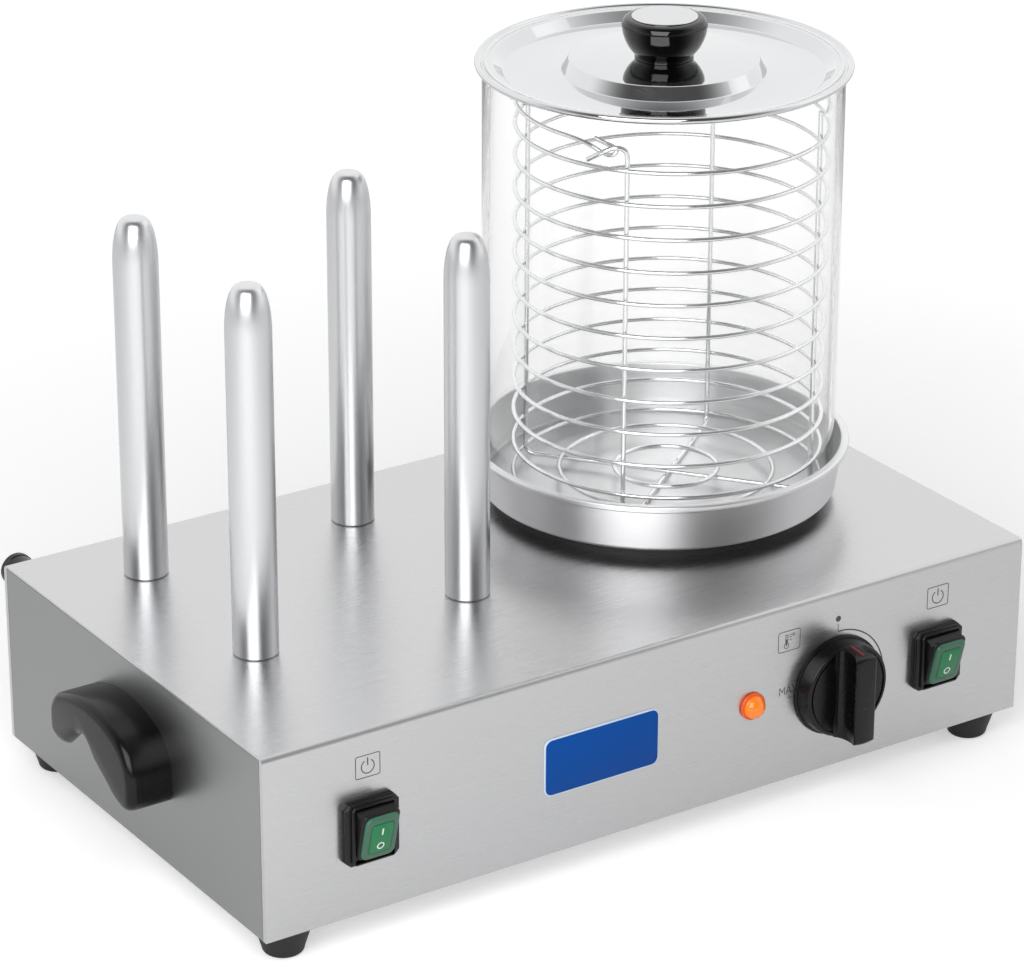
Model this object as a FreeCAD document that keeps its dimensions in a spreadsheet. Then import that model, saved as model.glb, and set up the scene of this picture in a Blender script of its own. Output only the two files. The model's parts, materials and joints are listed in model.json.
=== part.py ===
"""Counter-top snack toaster: four heating spikes beside a glass steaming cylinder.

Millimetres, +Z up, origin on the counter under the middle of the machine's bounding box.
The driving sizes live in the sheet "Sizes"; every feature is bound to them by expressions.
"""
import FreeCAD
import Part
import Sketcher
import math
import os
from types import SimpleNamespace

SIZES = {
    # Housing of folded sheet
    "housing_width": 500.0,
    "housing_depth": 285.0,
    "housing_height": 106.6,
    "sheet_thickness": 1.2,
    "bend_radius": 3.0,
    "lip_width": 3.0,
    "seam": 0.3,
    "flange_width": 14.0,
    "vent_length": 60.0,
    "vent_width": 5.0,
    "vent_spacing": 14.0,
    "vent_count": 9,
    # Feet
    "foot_height": 17.5,
    "foot_top_radius": 16.0,
    "foot_bottom_radius": 11.5,
    "foot_edge_radius": 3.0,
    "foot_inset_x": 20.0,
    "foot_inset_y": 17.0,
    "foot_recess_radius": 5.5,
    "foot_recess_depth": 6.0,
    # Screws
    "screw_radius": 2.0,
    "screw_clearance": 0.2,
    "screw_head_radius": 4.0,
    "screw_head_height": 2.5,
    "screw_length": 10.0,
    # Carrying handles
    "handle_reach": 26.0,
    "handle_wall": 4.0,
    "handle_boss_radius": 6.0,
    # Heating spikes
    "spike_radius": 12.5,
    "spike_length": 210.0,
    "spike_tip_length": 26.0,
    "spike_tip_radius": 4.0,
    "spike_bore_radius": 6.0,
    "spike_bore_end": 12.0,
    "spike_stud_radius": 8.0,
    "spike_stud_length": 14.0,
    "spike_inset_left": 61.9,
    "spike_column_spacing": 134.8,
    "spike_inset_rear": 52.4,
    "spike_row_spacing": 120.9,
    "nut_radius": 14.0,
    "nut_height": 6.0,
    "heater_gap": 0.3,
    "heater_tail": 18.0,
    # Basin and its heater
    "steamer_inset_right": 132.5,
    "steamer_inset_rear": 112.5,
    "spacer_height": 6.0,
    "spacer_outer_radius": 96.0,
    "spacer_inner_radius": 74.0,
    "opening_radius": 70.0,
    "basin_base_radius": 103.8,
    "basin_wall_radius": 107.4,
    "basin_rim_radius": 110.8,
    "basin_rim_height": 36.3,
    "basin_rim_drop": 1.6,
    "basin_sheet": 1.0,
    "basin_corner": 2.0,
    "basin_stud_radius": 3.0,
    "basin_stud_length": 16.0,
    "hotplate_radius": 62.0,
    "clamp_length": 164.0,
    "clamp_width": 20.0,
    "clamp_thickness": 2.0,
    "cutout_radius": 8.0,
    "cutout_height": 9.0,
    "cutout_offset": 28.0,
    # Glass cylinder
    "glass_radius": 102.0,
    "glass_wall": 4.0,
    "glass_edge": 1.0,
    "rest_gap": 0.2,
    # Wire basket
    "basket_shift_x": 4.3,
    "basket_shift_y": -2.9,
    "ring_radius": 88.6,
    "ring_wire": 1.25,
    "ring_pitch": 19.2,
    "ring_first": 13.4,
    "rim_level": 238.5,
    "rim_sweep": 270.0,
    "upright_wire": 1.4,
    "upright_top": 240.0,
    "upright_bend": 14.0,
    "upright_turn": 38.0,
    "weld_gap": 0.12,
    "floor_ring_radius": 62.0,
    "floor_ring_inner": 30.0,
    # Lid
    "lid_level": 262.0,
    "lid_radius": 106.3,
    "lid_sheet": 0.8,
    "lid_bead": 2.6,
    "lid_annulus_inner": 96.2,
    "lid_disc_radius": 90.0,
    "lid_disc_depth": 6.8,
    "lid_plateau_base": 57.4,
    "lid_plateau_top": 53.4,
    "lid_plateau_rise": 7.5,
    "grip_neck_radius": 16.6,
    "grip_neck_height": 6.7,
    "grip_radius": 24.2,
    "grip_parting": 19.6,
    "grip_top_radius": 19.6,
    "grip_height": 24.2,
    # Thermostat and its knob
    "knob_inset": 130.7,
    "knob_height": 50.0,
    "knob_flange_radius": 29.5,
    "knob_flange": 1.0,
    "knob_skirt_radius": 28.0,
    "knob_face_radius": 26.0,
    "knob_face": 10.5,
    "knob_reach": 27.0,
    "knob_gap": 0.4,
    "knob_wall": 2.5,
    "knob_hub_radius": 8.0,
    "grip_width": 17.0,
    "grip_crest_width": 7.0,
    "grip_half_length": 26.0,
    "shaft_radius": 3.0,
    "running_clearance": 0.05,
    "shaft_inside": 18.0,
    "shaft_in_knob": 20.0,
    "thermostat_width": 34.0,
    "thermostat_height": 40.0,
    "thermostat_depth": 28.0,
    "ear_height": 8.0,
    # Rocker switches
    "switch_inset_left": 62.7,
    "switch_inset_right": 61.5,
    "switch_height": 50.0,
    "switch_frame_width": 33.0,
    "switch_frame_height": 36.0,
    "switch_frame_depth": 5.0,
    "switch_chamfer": 1.5,
    "switch_wall": 1.2,
    "switch_tub_depth": 17.0,
    "rocker_radius": 15.5,
    "rocker_width": 23.0,
    "rocker_axis_reach": 2.0,
    "rocker_tilt": 14.7,
    "rocker_face": 7.0,
    "rocker_gap": 0.35,
    "rocker_pin_radius": 1.5,
    "rocker_pin_length": 0.9,
    "cap_width": 20.2,
    "cap_below": 11.2,
    "cap_above": 16.4,
    "cap_thickness": 4.2,
    "cap_edge": 1.0,
    "terminal_width": 6.3,
    "terminal_thickness": 0.8,
    "terminal_length": 10.0,
    "terminal_spacing": 8.0,
    # Pilot lamp
    "lamp_inset": 189.2,
    "lamp_height": 52.5,
    "lamp_radius": 8.0,
    "lamp_flange": 2.0,
    "lamp_reach": 8.0,
    "lamp_neck_radius": 5.0,
    "lamp_neck_length": 10.0,
    "lamp_body_radius": 6.5,
    "lamp_body_length": 22.0,
    # Bare badge plate
    "badge_x": -39.9,
    "badge_height": 52.3,
    "badge_width": 74.8,
    "badge_rise": 34.3,
    "badge_thickness": 1.0,
    "badge_corner": 4.5,
    # Cable gland and connections
    "gland_inset": 17.5,
    "gland_height": 82.0,
    "gland_radius": 11.0,
    "gland_reach": 16.0,
    "gland_bore": 4.0,
    "gland_neck_radius": 7.0,
    "gland_neck_length": 10.0,
    "connector_width": 60.0,
    "connector_depth": 20.0,
    "connector_height": 15.0,
    "connector_inset_x": 60.0,
    "connector_inset_y": 45.0,
}

CORNER = 1.0 - math.sqrt(0.5)
EIGHTH = math.tan(math.radians(22.5))
FULL_TURN = 360.0
QUARTER_TURN = 90.0
RING_COUNT = 12
UPRIGHT_PAIRS = 2
FACES = {"front": 0.0, "right": 90.0, "rear": 180.0, "left": -90.0}
SHEET = "Sizes"


class Size:
    """A length with its present value and the expression that gives it from the sheet."""

    def __init__(self, value, text):
        self.value = value
        self.text = text

    def __add__(self, other):
        other = as_size(other)
        return Size(self.value + other.value, "(%s + %s)" % (self.text, other.text))

    def __sub__(self, other):
        other = as_size(other)
        return Size(self.value - other.value, "(%s - %s)" % (self.text, other.text))

    def __mul__(self, other):
        other = as_size(other)
        return Size(self.value * other.value, "(%s * %s)" % (self.text, other.text))

    def __truediv__(self, other):
        other = as_size(other)
        return Size(self.value / other.value, "(%s / %s)" % (self.text, other.text))

    def __neg__(self):
        return Size(-self.value, "(0 - %s)" % self.text)

    def __radd__(self, other):
        return as_size(other) + self

    def __rsub__(self, other):
        return as_size(other) - self

    def __rmul__(self, other):
        return as_size(other) * self


def as_size(number):
    """Wrap a plain number so that it can stand in an expression."""
    if isinstance(number, Size):
        return number
    return Size(float(number), "%.9g" % number)


def write_sheet(doc):
    """Put every driving size in the sheet and return them as named lengths."""
    sheet = doc.addObject("Spreadsheet::Sheet", SHEET)
    for row, (alias, value) in enumerate(SIZES.items(), start=1):
        sheet.set("A%d" % row, alias)
        sheet.set("B%d" % row, "%.9g" % value)
        sheet.setAlias("B%d" % row, alias)
    doc.recompute()
    return SimpleNamespace(**{a: Size(float(v), "%s.%s" % (SHEET, a)) for a, v in SIZES.items()})


doc = FreeCAD.newDocument("toaster")
d = write_sheet(doc)

half_width = d.housing_width / 2
half_depth = d.housing_depth / 2
centre_y = (d.knob_reach - d.gland_reach) / 2
front_y = centre_y - half_depth
rear_y = centre_y + half_depth
floor_z = d.foot_height
top_z = d.foot_height + d.housing_height
steamer = (half_width - d.steamer_inset_right, rear_y - d.steamer_inset_rear)
basket_axis = (steamer[0] + d.basket_shift_x, steamer[1] + d.basket_shift_y)
knob_x = half_width - d.knob_inset
lamp_x = half_width - d.lamp_inset
gland_x = -(half_width - d.gland_inset)
screw_hole = d.screw_radius + d.screw_clearance


def bind(target, prop, length):
    """Bind a property to the expression of a length."""
    target.setExpression(prop, as_size(length).text)


def place(target, position, rotation=None):
    """Give an object its bound position and, where it is turned, its rotation."""
    if rotation is not None:
        target.Placement = FreeCAD.Placement(FreeCAD.Vector(), rotation)
    for axis, length in zip("xyz", position):
        bind(target, "Placement.Base." + axis, length)


def facing(face):
    """Rotation that turns local +Z out of a side of the housing, with local +Y up."""
    upright = FreeCAD.Rotation(FreeCAD.Vector(1, 0, 0), QUARTER_TURN)
    return FreeCAD.Rotation(FreeCAD.Vector(0, 0, 1), FACES[face]).multiply(upright)


def along(direction):
    """Rotation that turns +Z into a direction."""
    return FreeCAD.Rotation(FreeCAD.Vector(0, 0, 1), FreeCAD.Vector(*direction))


def new_body(label, position, rotation=None):
    """Start the body of one sub-part at its place in the machine."""
    body = doc.addObject("PartDesign::Body", label)
    body.Label = label
    place(body, position, rotation)
    return body


def add_edge(sketch, corner, after):
    """Add the line or arc from a corner to the next, and return (edge, start, end) numbers.

    A sketch keeps every arc anticlockwise, so a clockwise one is added from its far end.
    """
    start = FreeCAD.Vector(corner[0].value, corner[1].value, 0)
    end = FreeCAD.Vector(after[0].value, after[1].value, 0)
    if len(corner) == 2:
        return sketch.addGeometry(Part.LineSegment(start, end)), 1, 2
    middle = FreeCAD.Vector(corner[2].value, corner[3].value, 0)
    if (middle - start).cross(end - middle).z > 0:
        return sketch.addGeometry(Part.Arc(start, middle, end)), 1, 2
    return sketch.addGeometry(Part.Arc(end, middle, start)), 2, 1


def hold_middle(sketch, edge, corner):
    """Keep an arc on its middle point."""
    spot = sketch.addGeometry(Part.Point(FreeCAD.Vector(corner[2].value, corner[3].value, 0)), True)
    tie(sketch, spot, 1, corner[2], corner[3])
    sketch.addConstraint(Sketcher.Constraint("PointOnObject", spot, 1, edge))


def draw(sketch, outline, closed=True):
    """Draw an outline of lines and arcs and tie each corner to the sketch's axes.

    A corner is (x, y), or (x, y, mid_x, mid_y) where an arc through the middle point follows.
    """
    points = [tuple(as_size(n) for n in corner) for corner in outline]
    following = points[1:] + points[:1] if closed else points[1:]
    edges = [add_edge(sketch, corner, after) for corner, after in zip(points, following)]
    for (edge, start, _), corner in zip(edges, points):
        tie(sketch, edge, start, corner[0], corner[1])
        if len(corner) == 4:
            hold_middle(sketch, edge, corner)
    pairs = zip(edges, edges[1:] + edges[:1] if closed else edges[1:])
    for (before, _, last), (after, first, _) in pairs:
        sketch.addConstraint(Sketcher.Constraint("Coincident", before, last, after, first))
    if not closed:
        tie(sketch, edges[-1][0], edges[-1][2], points[-1][0], points[-1][1])


def tie(sketch, geometry, point, x, y):
    """Hold a point at its bound distances from the sketch's origin."""
    for kind, length in (("DistanceX", x), ("DistanceY", y)):
        number = sketch.addConstraint(
            Sketcher.Constraint(kind, -1, 1, geometry, point, length.value)
        )
        bind(sketch, "Constraints[%d]" % number, length)


def new_sketch(body, name, role, lift=0.0):
    """Empty sketch on one of the body's own origin planes, raised along its normal."""
    plane = [f for f in body.Origin.OriginFeatures if f.Role == role][0]
    sketch = body.newObject("Sketcher::SketchObject", body.Name + "_" + name)
    sketch.AttachmentSupport = [(plane, "")]
    sketch.MapMode = "FlatFace"
    bind(sketch, "AttachmentOffset.Base.z", lift)
    return sketch


def outline_sketch(body, name, role, outlines, lift=0.0):
    """Sketch with one or more closed outlines."""
    sketch = new_sketch(body, name, role, lift)
    for outline in outlines:
        draw(sketch, outline)
    return sketch


def revolve(body, outline, name="turned", sweep=FULL_TURN):
    """Turn a profile of (radius, height) corners about the body's Z axis."""
    sketch = outline_sketch(body, name + "_profile", "XZ_Plane", [outline])
    feature = body.newObject("PartDesign::Revolution", body.Name + "_" + name)
    feature.Profile = sketch
    feature.ReferenceAxis = (sketch, ["V_Axis"])
    bind(feature, "Angle", sweep)
    return feature


def pad(body, name, outlines, length, lift=0.0, role="XY_Plane"):
    """Raise outlines from a plane by a length."""
    sketch = outline_sketch(body, name + "_outline", role, outlines, lift)
    feature = body.newObject("PartDesign::Pad", body.Name + "_" + name)
    feature.Profile = sketch
    bind(feature, "Length", length)
    return feature


def pocket(body, name, outlines, length, lift=0.0, role="XY_Plane"):
    """Cut outlines out of the body, upwards from their plane by a length."""
    sketch = outline_sketch(body, name + "_outline", role, outlines, lift)
    feature = body.newObject("PartDesign::Pocket", body.Name + "_" + name)
    feature.Profile = sketch
    feature.Reversed = True
    bind(feature, "Length", length)
    return feature


def block(body, name, corner, size, cut=False):
    """Box added to the body or cut from it."""
    kind = "PartDesign::SubtractiveBox" if cut else "PartDesign::AdditiveBox"
    feature = body.newObject(kind, body.Name + "_" + name)
    for prop, length in zip(("Length", "Width", "Height"), size):
        bind(feature, prop, length)
    place(feature, corner)
    return feature


def rod(body, name, base, radius, length, direction=(0, 0, 1), cut=False):
    """Cylinder added to the body or cut from it."""
    kind = "PartDesign::SubtractiveCylinder" if cut else "PartDesign::AdditiveCylinder"
    feature = body.newObject(kind, body.Name + "_" + name)
    bind(feature, "Radius", radius)
    bind(feature, "Height", length)
    place(feature, base, along(direction))
    return feature


def dress(body, kind, name, amount, base, wanted):
    """Round or chamfer the edges of a feature that a test picks out."""
    doc.recompute()
    edges = ["Edge%d" % (i + 1) for i, e in enumerate(base.Shape.Edges) if wanted(e.BoundBox)]
    feature = body.newObject("PartDesign::" + kind, body.Name + "_" + name)
    feature.Base = (base, edges)
    bind(feature, "Size" if kind == "Chamfer" else "Radius", amount)
    return feature


def rectangle(x_low, y_low, x_high, y_high):
    """Corners of a rectangle."""
    return [(x_low, y_low), (x_high, y_low), (x_high, y_high), (x_low, y_high)]


def rounded_rectangle(x_half, y_half, radius):
    """Corners of a rectangle about the origin, with round corners."""
    near = radius * CORNER
    return [
        (x_half - radius, -y_half, x_half - near, -(y_half - near)),
        (x_half, -(y_half - radius)),
        (x_half, y_half - radius, x_half - near, y_half - near),
        (x_half - radius, y_half),
        (-(x_half - radius), y_half, -(x_half - near), y_half - near),
        (-x_half, y_half - radius),
        (-x_half, -(y_half - radius), -(x_half - near), -(y_half - near)),
        (-(x_half - radius), -y_half),
    ]


def loose_rod(name, base, radius, length, direction=(0, 0, 1)):
    """Cylinder that will be joined into a group of fasteners."""
    part = doc.addObject("Part::Cylinder", name)
    bind(part, "Radius", radius)
    bind(part, "Height", length)
    place(part, base, along(direction))
    return part


def screw(name, seat, direction, length):
    """Pan-head screw whose seat is the point under its head."""
    head_base = [s - step * d.screw_head_height for s, step in zip(seat, direction)]
    made = doc.addObject("Part::Fuse", name)
    made.Base = loose_rod(name + "_head", head_base, d.screw_head_radius, d.screw_head_height, direction)
    made.Tool = loose_rod(name + "_shank", seat, d.screw_radius, length, direction)
    return made


def screws(label, seats, direction, length):
    """Group of screws that point the same way."""
    made = [
        screw("%s_%d" % (label, number), seat, direction, length)
        for number, seat in enumerate(seats, start=1)
    ]
    return group(label, made)


def group(label, members):
    """Several like solids that share one node."""
    node = doc.addObject("Part::Compound", label)
    node.Label = label
    node.Links = members
    return node


def hex_nut(name, base, radius, bore, height, rotation=None):
    """Hexagonal nut with its bore."""
    blank = doc.addObject("Part::Prism", name + "_blank")
    blank.Polygon = 6
    bind(blank, "Circumradius", radius)
    bind(blank, "Height", height)
    place(blank, base, rotation)
    core = doc.addObject("Part::Cylinder", name + "_core")
    bind(core, "Radius", bore)
    bind(core, "Height", height)
    place(core, base, rotation)
    nut = doc.addObject("Part::Cut", name)
    nut.Base = blank
    nut.Tool = core
    return nut


def foot_seats():
    """Centres of the four feet, by name."""
    seats = {}
    for row, y in (("front", front_y + d.foot_inset_y), ("rear", rear_y - d.foot_inset_y)):
        for side, x in (("left", -(half_width - d.foot_inset_x)), ("right", half_width - d.foot_inset_x)):
            seats["%s_%s" % (row, side)] = (x, y)
    return seats


def base_screw_seats():
    """Screws through the base plate into the side panels' lower flanges."""
    x = half_width - d.sheet_thickness - d.flange_width / 2
    y = half_depth * 0.5
    return [(sx * x, centre_y + sy * y, floor_z) for sx in (-1, 1) for sy in (-1, 1)]


def rear_screw_xs():
    """Screws through the rear panel into the base plate's rear flange."""
    spacing = d.housing_width / 4
    return [spacing * step for step in (-1.5, -0.5, 0.5, 1.5)]


def make_base_plate():
    body = new_body("base_plate", (0, centre_y, floor_z))
    x_half = half_width - d.sheet_thickness - d.seam
    y_half = half_depth - d.sheet_thickness - d.seam
    pad(body, "plate", [rectangle(-x_half, -y_half, x_half, y_half)], d.sheet_thickness)
    x_flange = half_width - d.sheet_thickness * 2 - d.flange_width - d.seam
    for name, y in (("front_flange", -y_half), ("rear_flange", y_half - d.sheet_thickness)):
        block(body, name, (-x_flange, y, 0), (x_flange * 2, d.sheet_thickness, d.flange_width))
    start = -(d.vent_spacing * (d.vent_count - 1)) / 2
    slot = rectangle(
        start - d.vent_width / 2, -d.vent_length / 2, start + d.vent_width / 2, d.vent_length / 2
    )
    first = pocket(body, "vent", [slot], d.sheet_thickness)
    row = body.newObject("PartDesign::LinearPattern", "base_plate_vents")
    row.Originals = [first]
    row.Direction = (first.Profile[0], ["H_Axis"])
    bind(row, "Length", d.vent_spacing * (d.vent_count - 1))
    bind(row, "Occurrences", d.vent_count)
    body.Tip = row
    for name, (x, y) in foot_seats().items():
        rod(body, "hole_" + name, (x, y - centre_y, 0), screw_hole, d.sheet_thickness, cut=True)
    for number, (x, y, z) in enumerate(base_screw_seats()):
        rod(body, "hole_%d" % number, (x, y - centre_y, 0), screw_hole, d.sheet_thickness, cut=True)
    for number, x in enumerate(rear_screw_xs()):
        seat = (x, y_half - d.sheet_thickness, d.flange_width / 2)
        rod(body, "rear_hole_%d" % number, seat, screw_hole, d.sheet_thickness, (0, 1, 0), cut=True)
    return body


def make_top_cover():
    body = new_body("top_cover", (0, centre_y, floor_z))
    wide = half_depth
    high = d.housing_height
    bend = d.bend_radius
    sheet = d.sheet_thickness
    near = bend * CORNER
    inner = sheet + (bend - sheet) * CORNER
    profile = [
        (-wide, 0),
        (-wide, high - bend, -(wide - near), high - near),
        (-(wide - bend), high),
        (wide - bend, high, wide - near, high - near),
        (wide, high - bend),
        (wide, 0),
        (wide - sheet, 0),
        (wide - sheet, high - bend, wide - inner, high - inner),
        (wide - bend, high - sheet),
        (-(wide - bend), high - sheet, -(wide - inner), high - inner),
        (-(wide - sheet), high - bend),
        (-(wide - sheet), 0),
    ]
    pad(body, "folded_sheet", [profile], d.housing_width, -half_width, "YZ_Plane")
    lip_depth = d.lip_width - sheet
    for x_name, x in (("left", -half_width), ("right", half_width - sheet)):
        for y_name, y in (("front", -(wide - sheet)), ("rear", wide - d.lip_width)):
            block(body, "lip_%s_%s" % (y_name, x_name), (x, y, 0), (sheet, lip_depth, high - sheet))
    through = high - sheet * 2
    for name, (x, y) in spike_seats().items():
        rod(body, "hole_" + name, (x, y - centre_y, through), d.spike_stud_radius + d.screw_clearance,
            sheet * 3, cut=True)
    rod(body, "heater_opening", (steamer[0], steamer[1] - centre_y, through), d.opening_radius, sheet * 3,
        cut=True)
    inside = -(wide - sheet * 2)
    for side, x in switch_columns().items():
        x_half = window_half_width()
        z_half = window_half_height()
        block(body, "switch_window_" + side, (x - x_half, -wide - sheet, d.switch_height - z_half),
              (x_half * 2, sheet * 3, z_half * 2), cut=True)
    rod(body, "shaft_hole", (knob_x, inside, d.knob_height), d.shaft_radius * 2, sheet * 3,
        (0, -1, 0), cut=True)
    rod(body, "lamp_hole", (lamp_x, inside, d.lamp_height), d.lamp_neck_radius + d.screw_clearance,
        sheet * 3, (0, -1, 0), cut=True)
    rod(body, "gland_hole", (gland_x, -inside, d.gland_height), d.gland_neck_radius + d.screw_clearance,
        sheet * 3, (0, 1, 0), cut=True)
    for number, x in enumerate(rear_screw_xs()):
        rod(body, "rear_hole_%d" % number, (x, -inside, d.flange_width / 2), screw_hole, sheet * 3,
            (0, 1, 0), cut=True)
    return body


def make_side_panel(side):
    sign = -1 if side == "left" else 1
    body = new_body("side_panel_" + side, (sign * half_width, centre_y, floor_z), facing(side))
    sheet = d.sheet_thickness
    x_half = half_depth - d.lip_width - d.seam
    high = d.housing_height - sheet - d.seam
    pad(body, "panel", [rectangle(-x_half, 0, x_half, high)], sheet, -sheet)
    x_flange = x_half - d.bend_radius
    for name, y in (("upper_flange", high - sheet), ("lower_flange", sheet)):
        block(body, name, (-x_flange, y, -sheet - d.flange_width), (x_flange * 2, sheet, d.flange_width))
    for number, (x, y) in enumerate(handle_bosses()):
        rod(body, "handle_hole_%d" % number, (x, y, -sheet * 2), screw_hole, sheet * 3, cut=True)
    for number, sy in enumerate((-1, 1)):
        seat = (sy * half_depth * 0.5, sheet / 2, -d.flange_width / 2 - sheet)
        rod(body, "base_hole_%d" % number, seat, d.screw_radius + d.screw_clearance, sheet * 2,
            (0, 1, 0), cut=True)
    return body


def make_foot(name, x, y):
    body = new_body("foot_" + name, (x, y, 0))
    edge = d.foot_edge_radius
    near = edge * CORNER
    revolve(body, [
        (screw_hole, d.foot_recess_depth),
        (d.foot_recess_radius, d.foot_recess_depth),
        (d.foot_recess_radius, 0),
        (d.foot_bottom_radius - edge, 0, d.foot_bottom_radius - near, near),
        (d.foot_bottom_radius, edge),
        (d.foot_top_radius, d.foot_height),
        (screw_hole, d.foot_height),
    ])
    return body


def make_foot_screws():
    seats = [(x, y, d.foot_recess_depth) for x, y in foot_seats().values()]
    grip = d.foot_height - d.foot_recess_depth + d.sheet_thickness + d.screw_radius
    return screws("foot_screws", seats, (0, 0, 1), grip)


def make_base_screws():
    return screws("base_screws", base_screw_seats(), (0, 0, 1), d.screw_length)


def make_rear_screws():
    seats = [(x, rear_y, floor_z + d.flange_width / 2) for x in rear_screw_xs()]
    return screws("rear_screws", seats, (0, -1, 0), d.screw_length)


# Handle outline, seen from outside: x runs to the front on the left side, y is height on the panel
HANDLE_LOW = -44.2
HANDLE_HIGH = 46.5
HANDLE_OUTLINE = [
    (-33.4, 78.5, -3.0, 85.3),
    (30.0, 79.0, 41.4, 70.2),
    (46.5, 57.0),
    (46.4, 46.0, 42.6, 39.8),
    (36.0, 38.0, 27.6, 40.5),
    (20.0, 45.0),
    (5.0, 54.0, 0.4, 59.0),
    (-4.5, 63.2, -9.5, 63.3),
    (-15.0, 60.0),
    (-24.0, 52.0, -30.6, 49.2),
    (-38.0, 49.8, -42.6, 52.6),
    (-44.2, 58.0),
    (-44.2, 66.0, -40.8, 73.6),
]


def handle_bosses():
    """Screw bosses inside the two ends of a handle."""
    inset = d.handle_wall + d.handle_boss_radius - 0.5
    return [(HANDLE_HIGH - inset, as_size(51.0)), (HANDLE_LOW + inset, as_size(62.0))]


def make_handle(side):
    sign = -1 if side == "left" else 1
    body = new_body("handle_" + side, (sign * half_width, centre_y, floor_z), facing(side))
    pad(body, "shell", [HANDLE_OUTLINE], d.handle_reach)
    wall = d.handle_wall
    hollow = [
        (HANDLE_LOW + wall, 30.0),
        (HANDLE_HIGH - wall, 30.0),
        (HANDLE_HIGH - wall, 57.0, 41.4 - wall * 0.9, 70.2 - wall * 0.6),
        (30.0 - wall * 0.4, 79.0 - wall, -3.0, 85.3 - wall),
        (-33.4 + wall * 0.4, 78.5 - wall, -40.8 + wall * 0.7, 73.6 - wall * 0.7),
        (HANDLE_LOW + wall, 66.0),
    ]
    pocket(body, "finger_space", [hollow], d.handle_reach - wall)
    for number, (x, y) in enumerate(handle_bosses()):
        rod(body, "boss_%d" % number, (x, y, 0), d.handle_boss_radius, d.handle_reach - wall / 2)
        rod(body, "boss_hole_%d" % number, (x, y, 0), screw_hole, d.screw_length + wall, cut=True)
    return body


def make_handle_screws():
    members = []
    for side, sign in (("left", -1), ("right", 1)):
        for number, (x, y) in enumerate(handle_bosses()):
            seat = (sign * (half_width - d.sheet_thickness), centre_y + sign * x, floor_z + y)
            name = "handle_screws_%s_%d" % (side, number)
            members.append(screw(name, seat, (sign, 0, 0), d.screw_length))
    return group("handle_screws", members)


def spike_seats():
    """Centres of the four spikes, by name."""
    left = -(half_width - d.spike_inset_left)
    rear = rear_y - d.spike_inset_rear
    seats = {}
    for row, y in (("front", rear - d.spike_row_spacing), ("rear", rear)):
        for side, x in (("left", left), ("right", left + d.spike_column_spacing)):
            seats["%s_%s" % (row, side)] = (x, y)
    return seats


def make_spike(name, x, y):
    body = new_body("spike_" + name, (x, y, top_z))
    shoulder = d.spike_length - d.spike_tip_length
    bore_top = d.spike_length - d.spike_bore_end
    slant = d.spike_radius - d.spike_tip_radius
    revolve(body, [
        (d.spike_bore_radius, -d.spike_stud_length),
        (d.spike_stud_radius, -d.spike_stud_length),
        (d.spike_stud_radius, 0),
        (d.spike_radius, 0),
        (d.spike_radius, shoulder, d.spike_radius - slant * 0.33, d.spike_length - d.spike_tip_length * 0.38),
        (d.spike_tip_radius, d.spike_length),
        (0, d.spike_length),
        (0, bore_top),
        (d.spike_bore_radius, bore_top),
    ])
    return body


def make_spike_heater(name, x, y):
    body = new_body("spike_heater_" + name, (x, y, top_z))
    low = -(d.spike_stud_length + d.heater_tail)
    high = d.spike_length - d.spike_bore_end - d.heater_gap
    rod(body, "cartridge", (0, 0, low), d.spike_bore_radius - d.heater_gap, high - low)
    return body


def make_spike_nuts():
    base_z = top_z - d.sheet_thickness - d.nut_height
    bore = d.spike_stud_radius + d.running_clearance
    nuts = [
        hex_nut("spike_nut_" + name, (x, y, base_z), d.nut_radius, bore, d.nut_height)
        for name, (x, y) in spike_seats().items()
    ]
    return group("spike_nuts", nuts)


def make_spacer_ring():
    body = new_body("spacer_ring", (*steamer, top_z))
    revolve(body, [
        (d.spacer_inner_radius, 0),
        (d.spacer_outer_radius, 0),
        (d.spacer_outer_radius, d.spacer_height),
        (d.spacer_inner_radius, d.spacer_height),
    ])
    return body


def make_basin():
    body = new_body("basin", (*steamer, top_z))
    low = d.spacer_height
    sheet = d.basin_sheet
    corner = d.basin_corner
    near = corner * CORNER
    rim = d.basin_rim_height
    under = rim - d.basin_rim_drop
    revolve(body, [
        (0, low - d.basin_stud_length),
        (d.basin_stud_radius, low - d.basin_stud_length),
        (d.basin_stud_radius, low),
        (d.basin_base_radius - corner, low, d.basin_base_radius - near, low + near),
        (d.basin_base_radius, low + corner),
        (d.basin_wall_radius, under),
        (d.basin_rim_radius, under - sheet * 0.4),
        (d.basin_rim_radius, under + sheet * 0.6),
        (d.basin_wall_radius + sheet, rim, d.basin_wall_radius, rim - sheet * 0.1),
        (d.basin_wall_radius - sheet, rim - sheet * 0.8),
        (d.basin_base_radius - sheet, low + corner,
         d.basin_base_radius - sheet - near, low + sheet + near * 0.4),
        (d.basin_base_radius - corner - sheet * 0.5, low + sheet),
        (0, low + sheet),
    ])
    return body


def make_hotplate():
    body = new_body("hotplate", (*steamer, top_z))
    bore = d.basin_stud_radius + d.screw_clearance
    groove = d.sheet_thickness
    revolve(body, [
        (bore, -d.sheet_thickness),
        (d.hotplate_radius * 0.55, -d.sheet_thickness),
        (d.hotplate_radius * 0.55, groove - d.sheet_thickness),
        (d.hotplate_radius * 0.75, groove - d.sheet_thickness),
        (d.hotplate_radius * 0.75, -d.sheet_thickness),
        (d.hotplate_radius, -d.sheet_thickness),
        (d.hotplate_radius, d.spacer_height),
        (bore, d.spacer_height),
    ])
    return body


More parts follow.
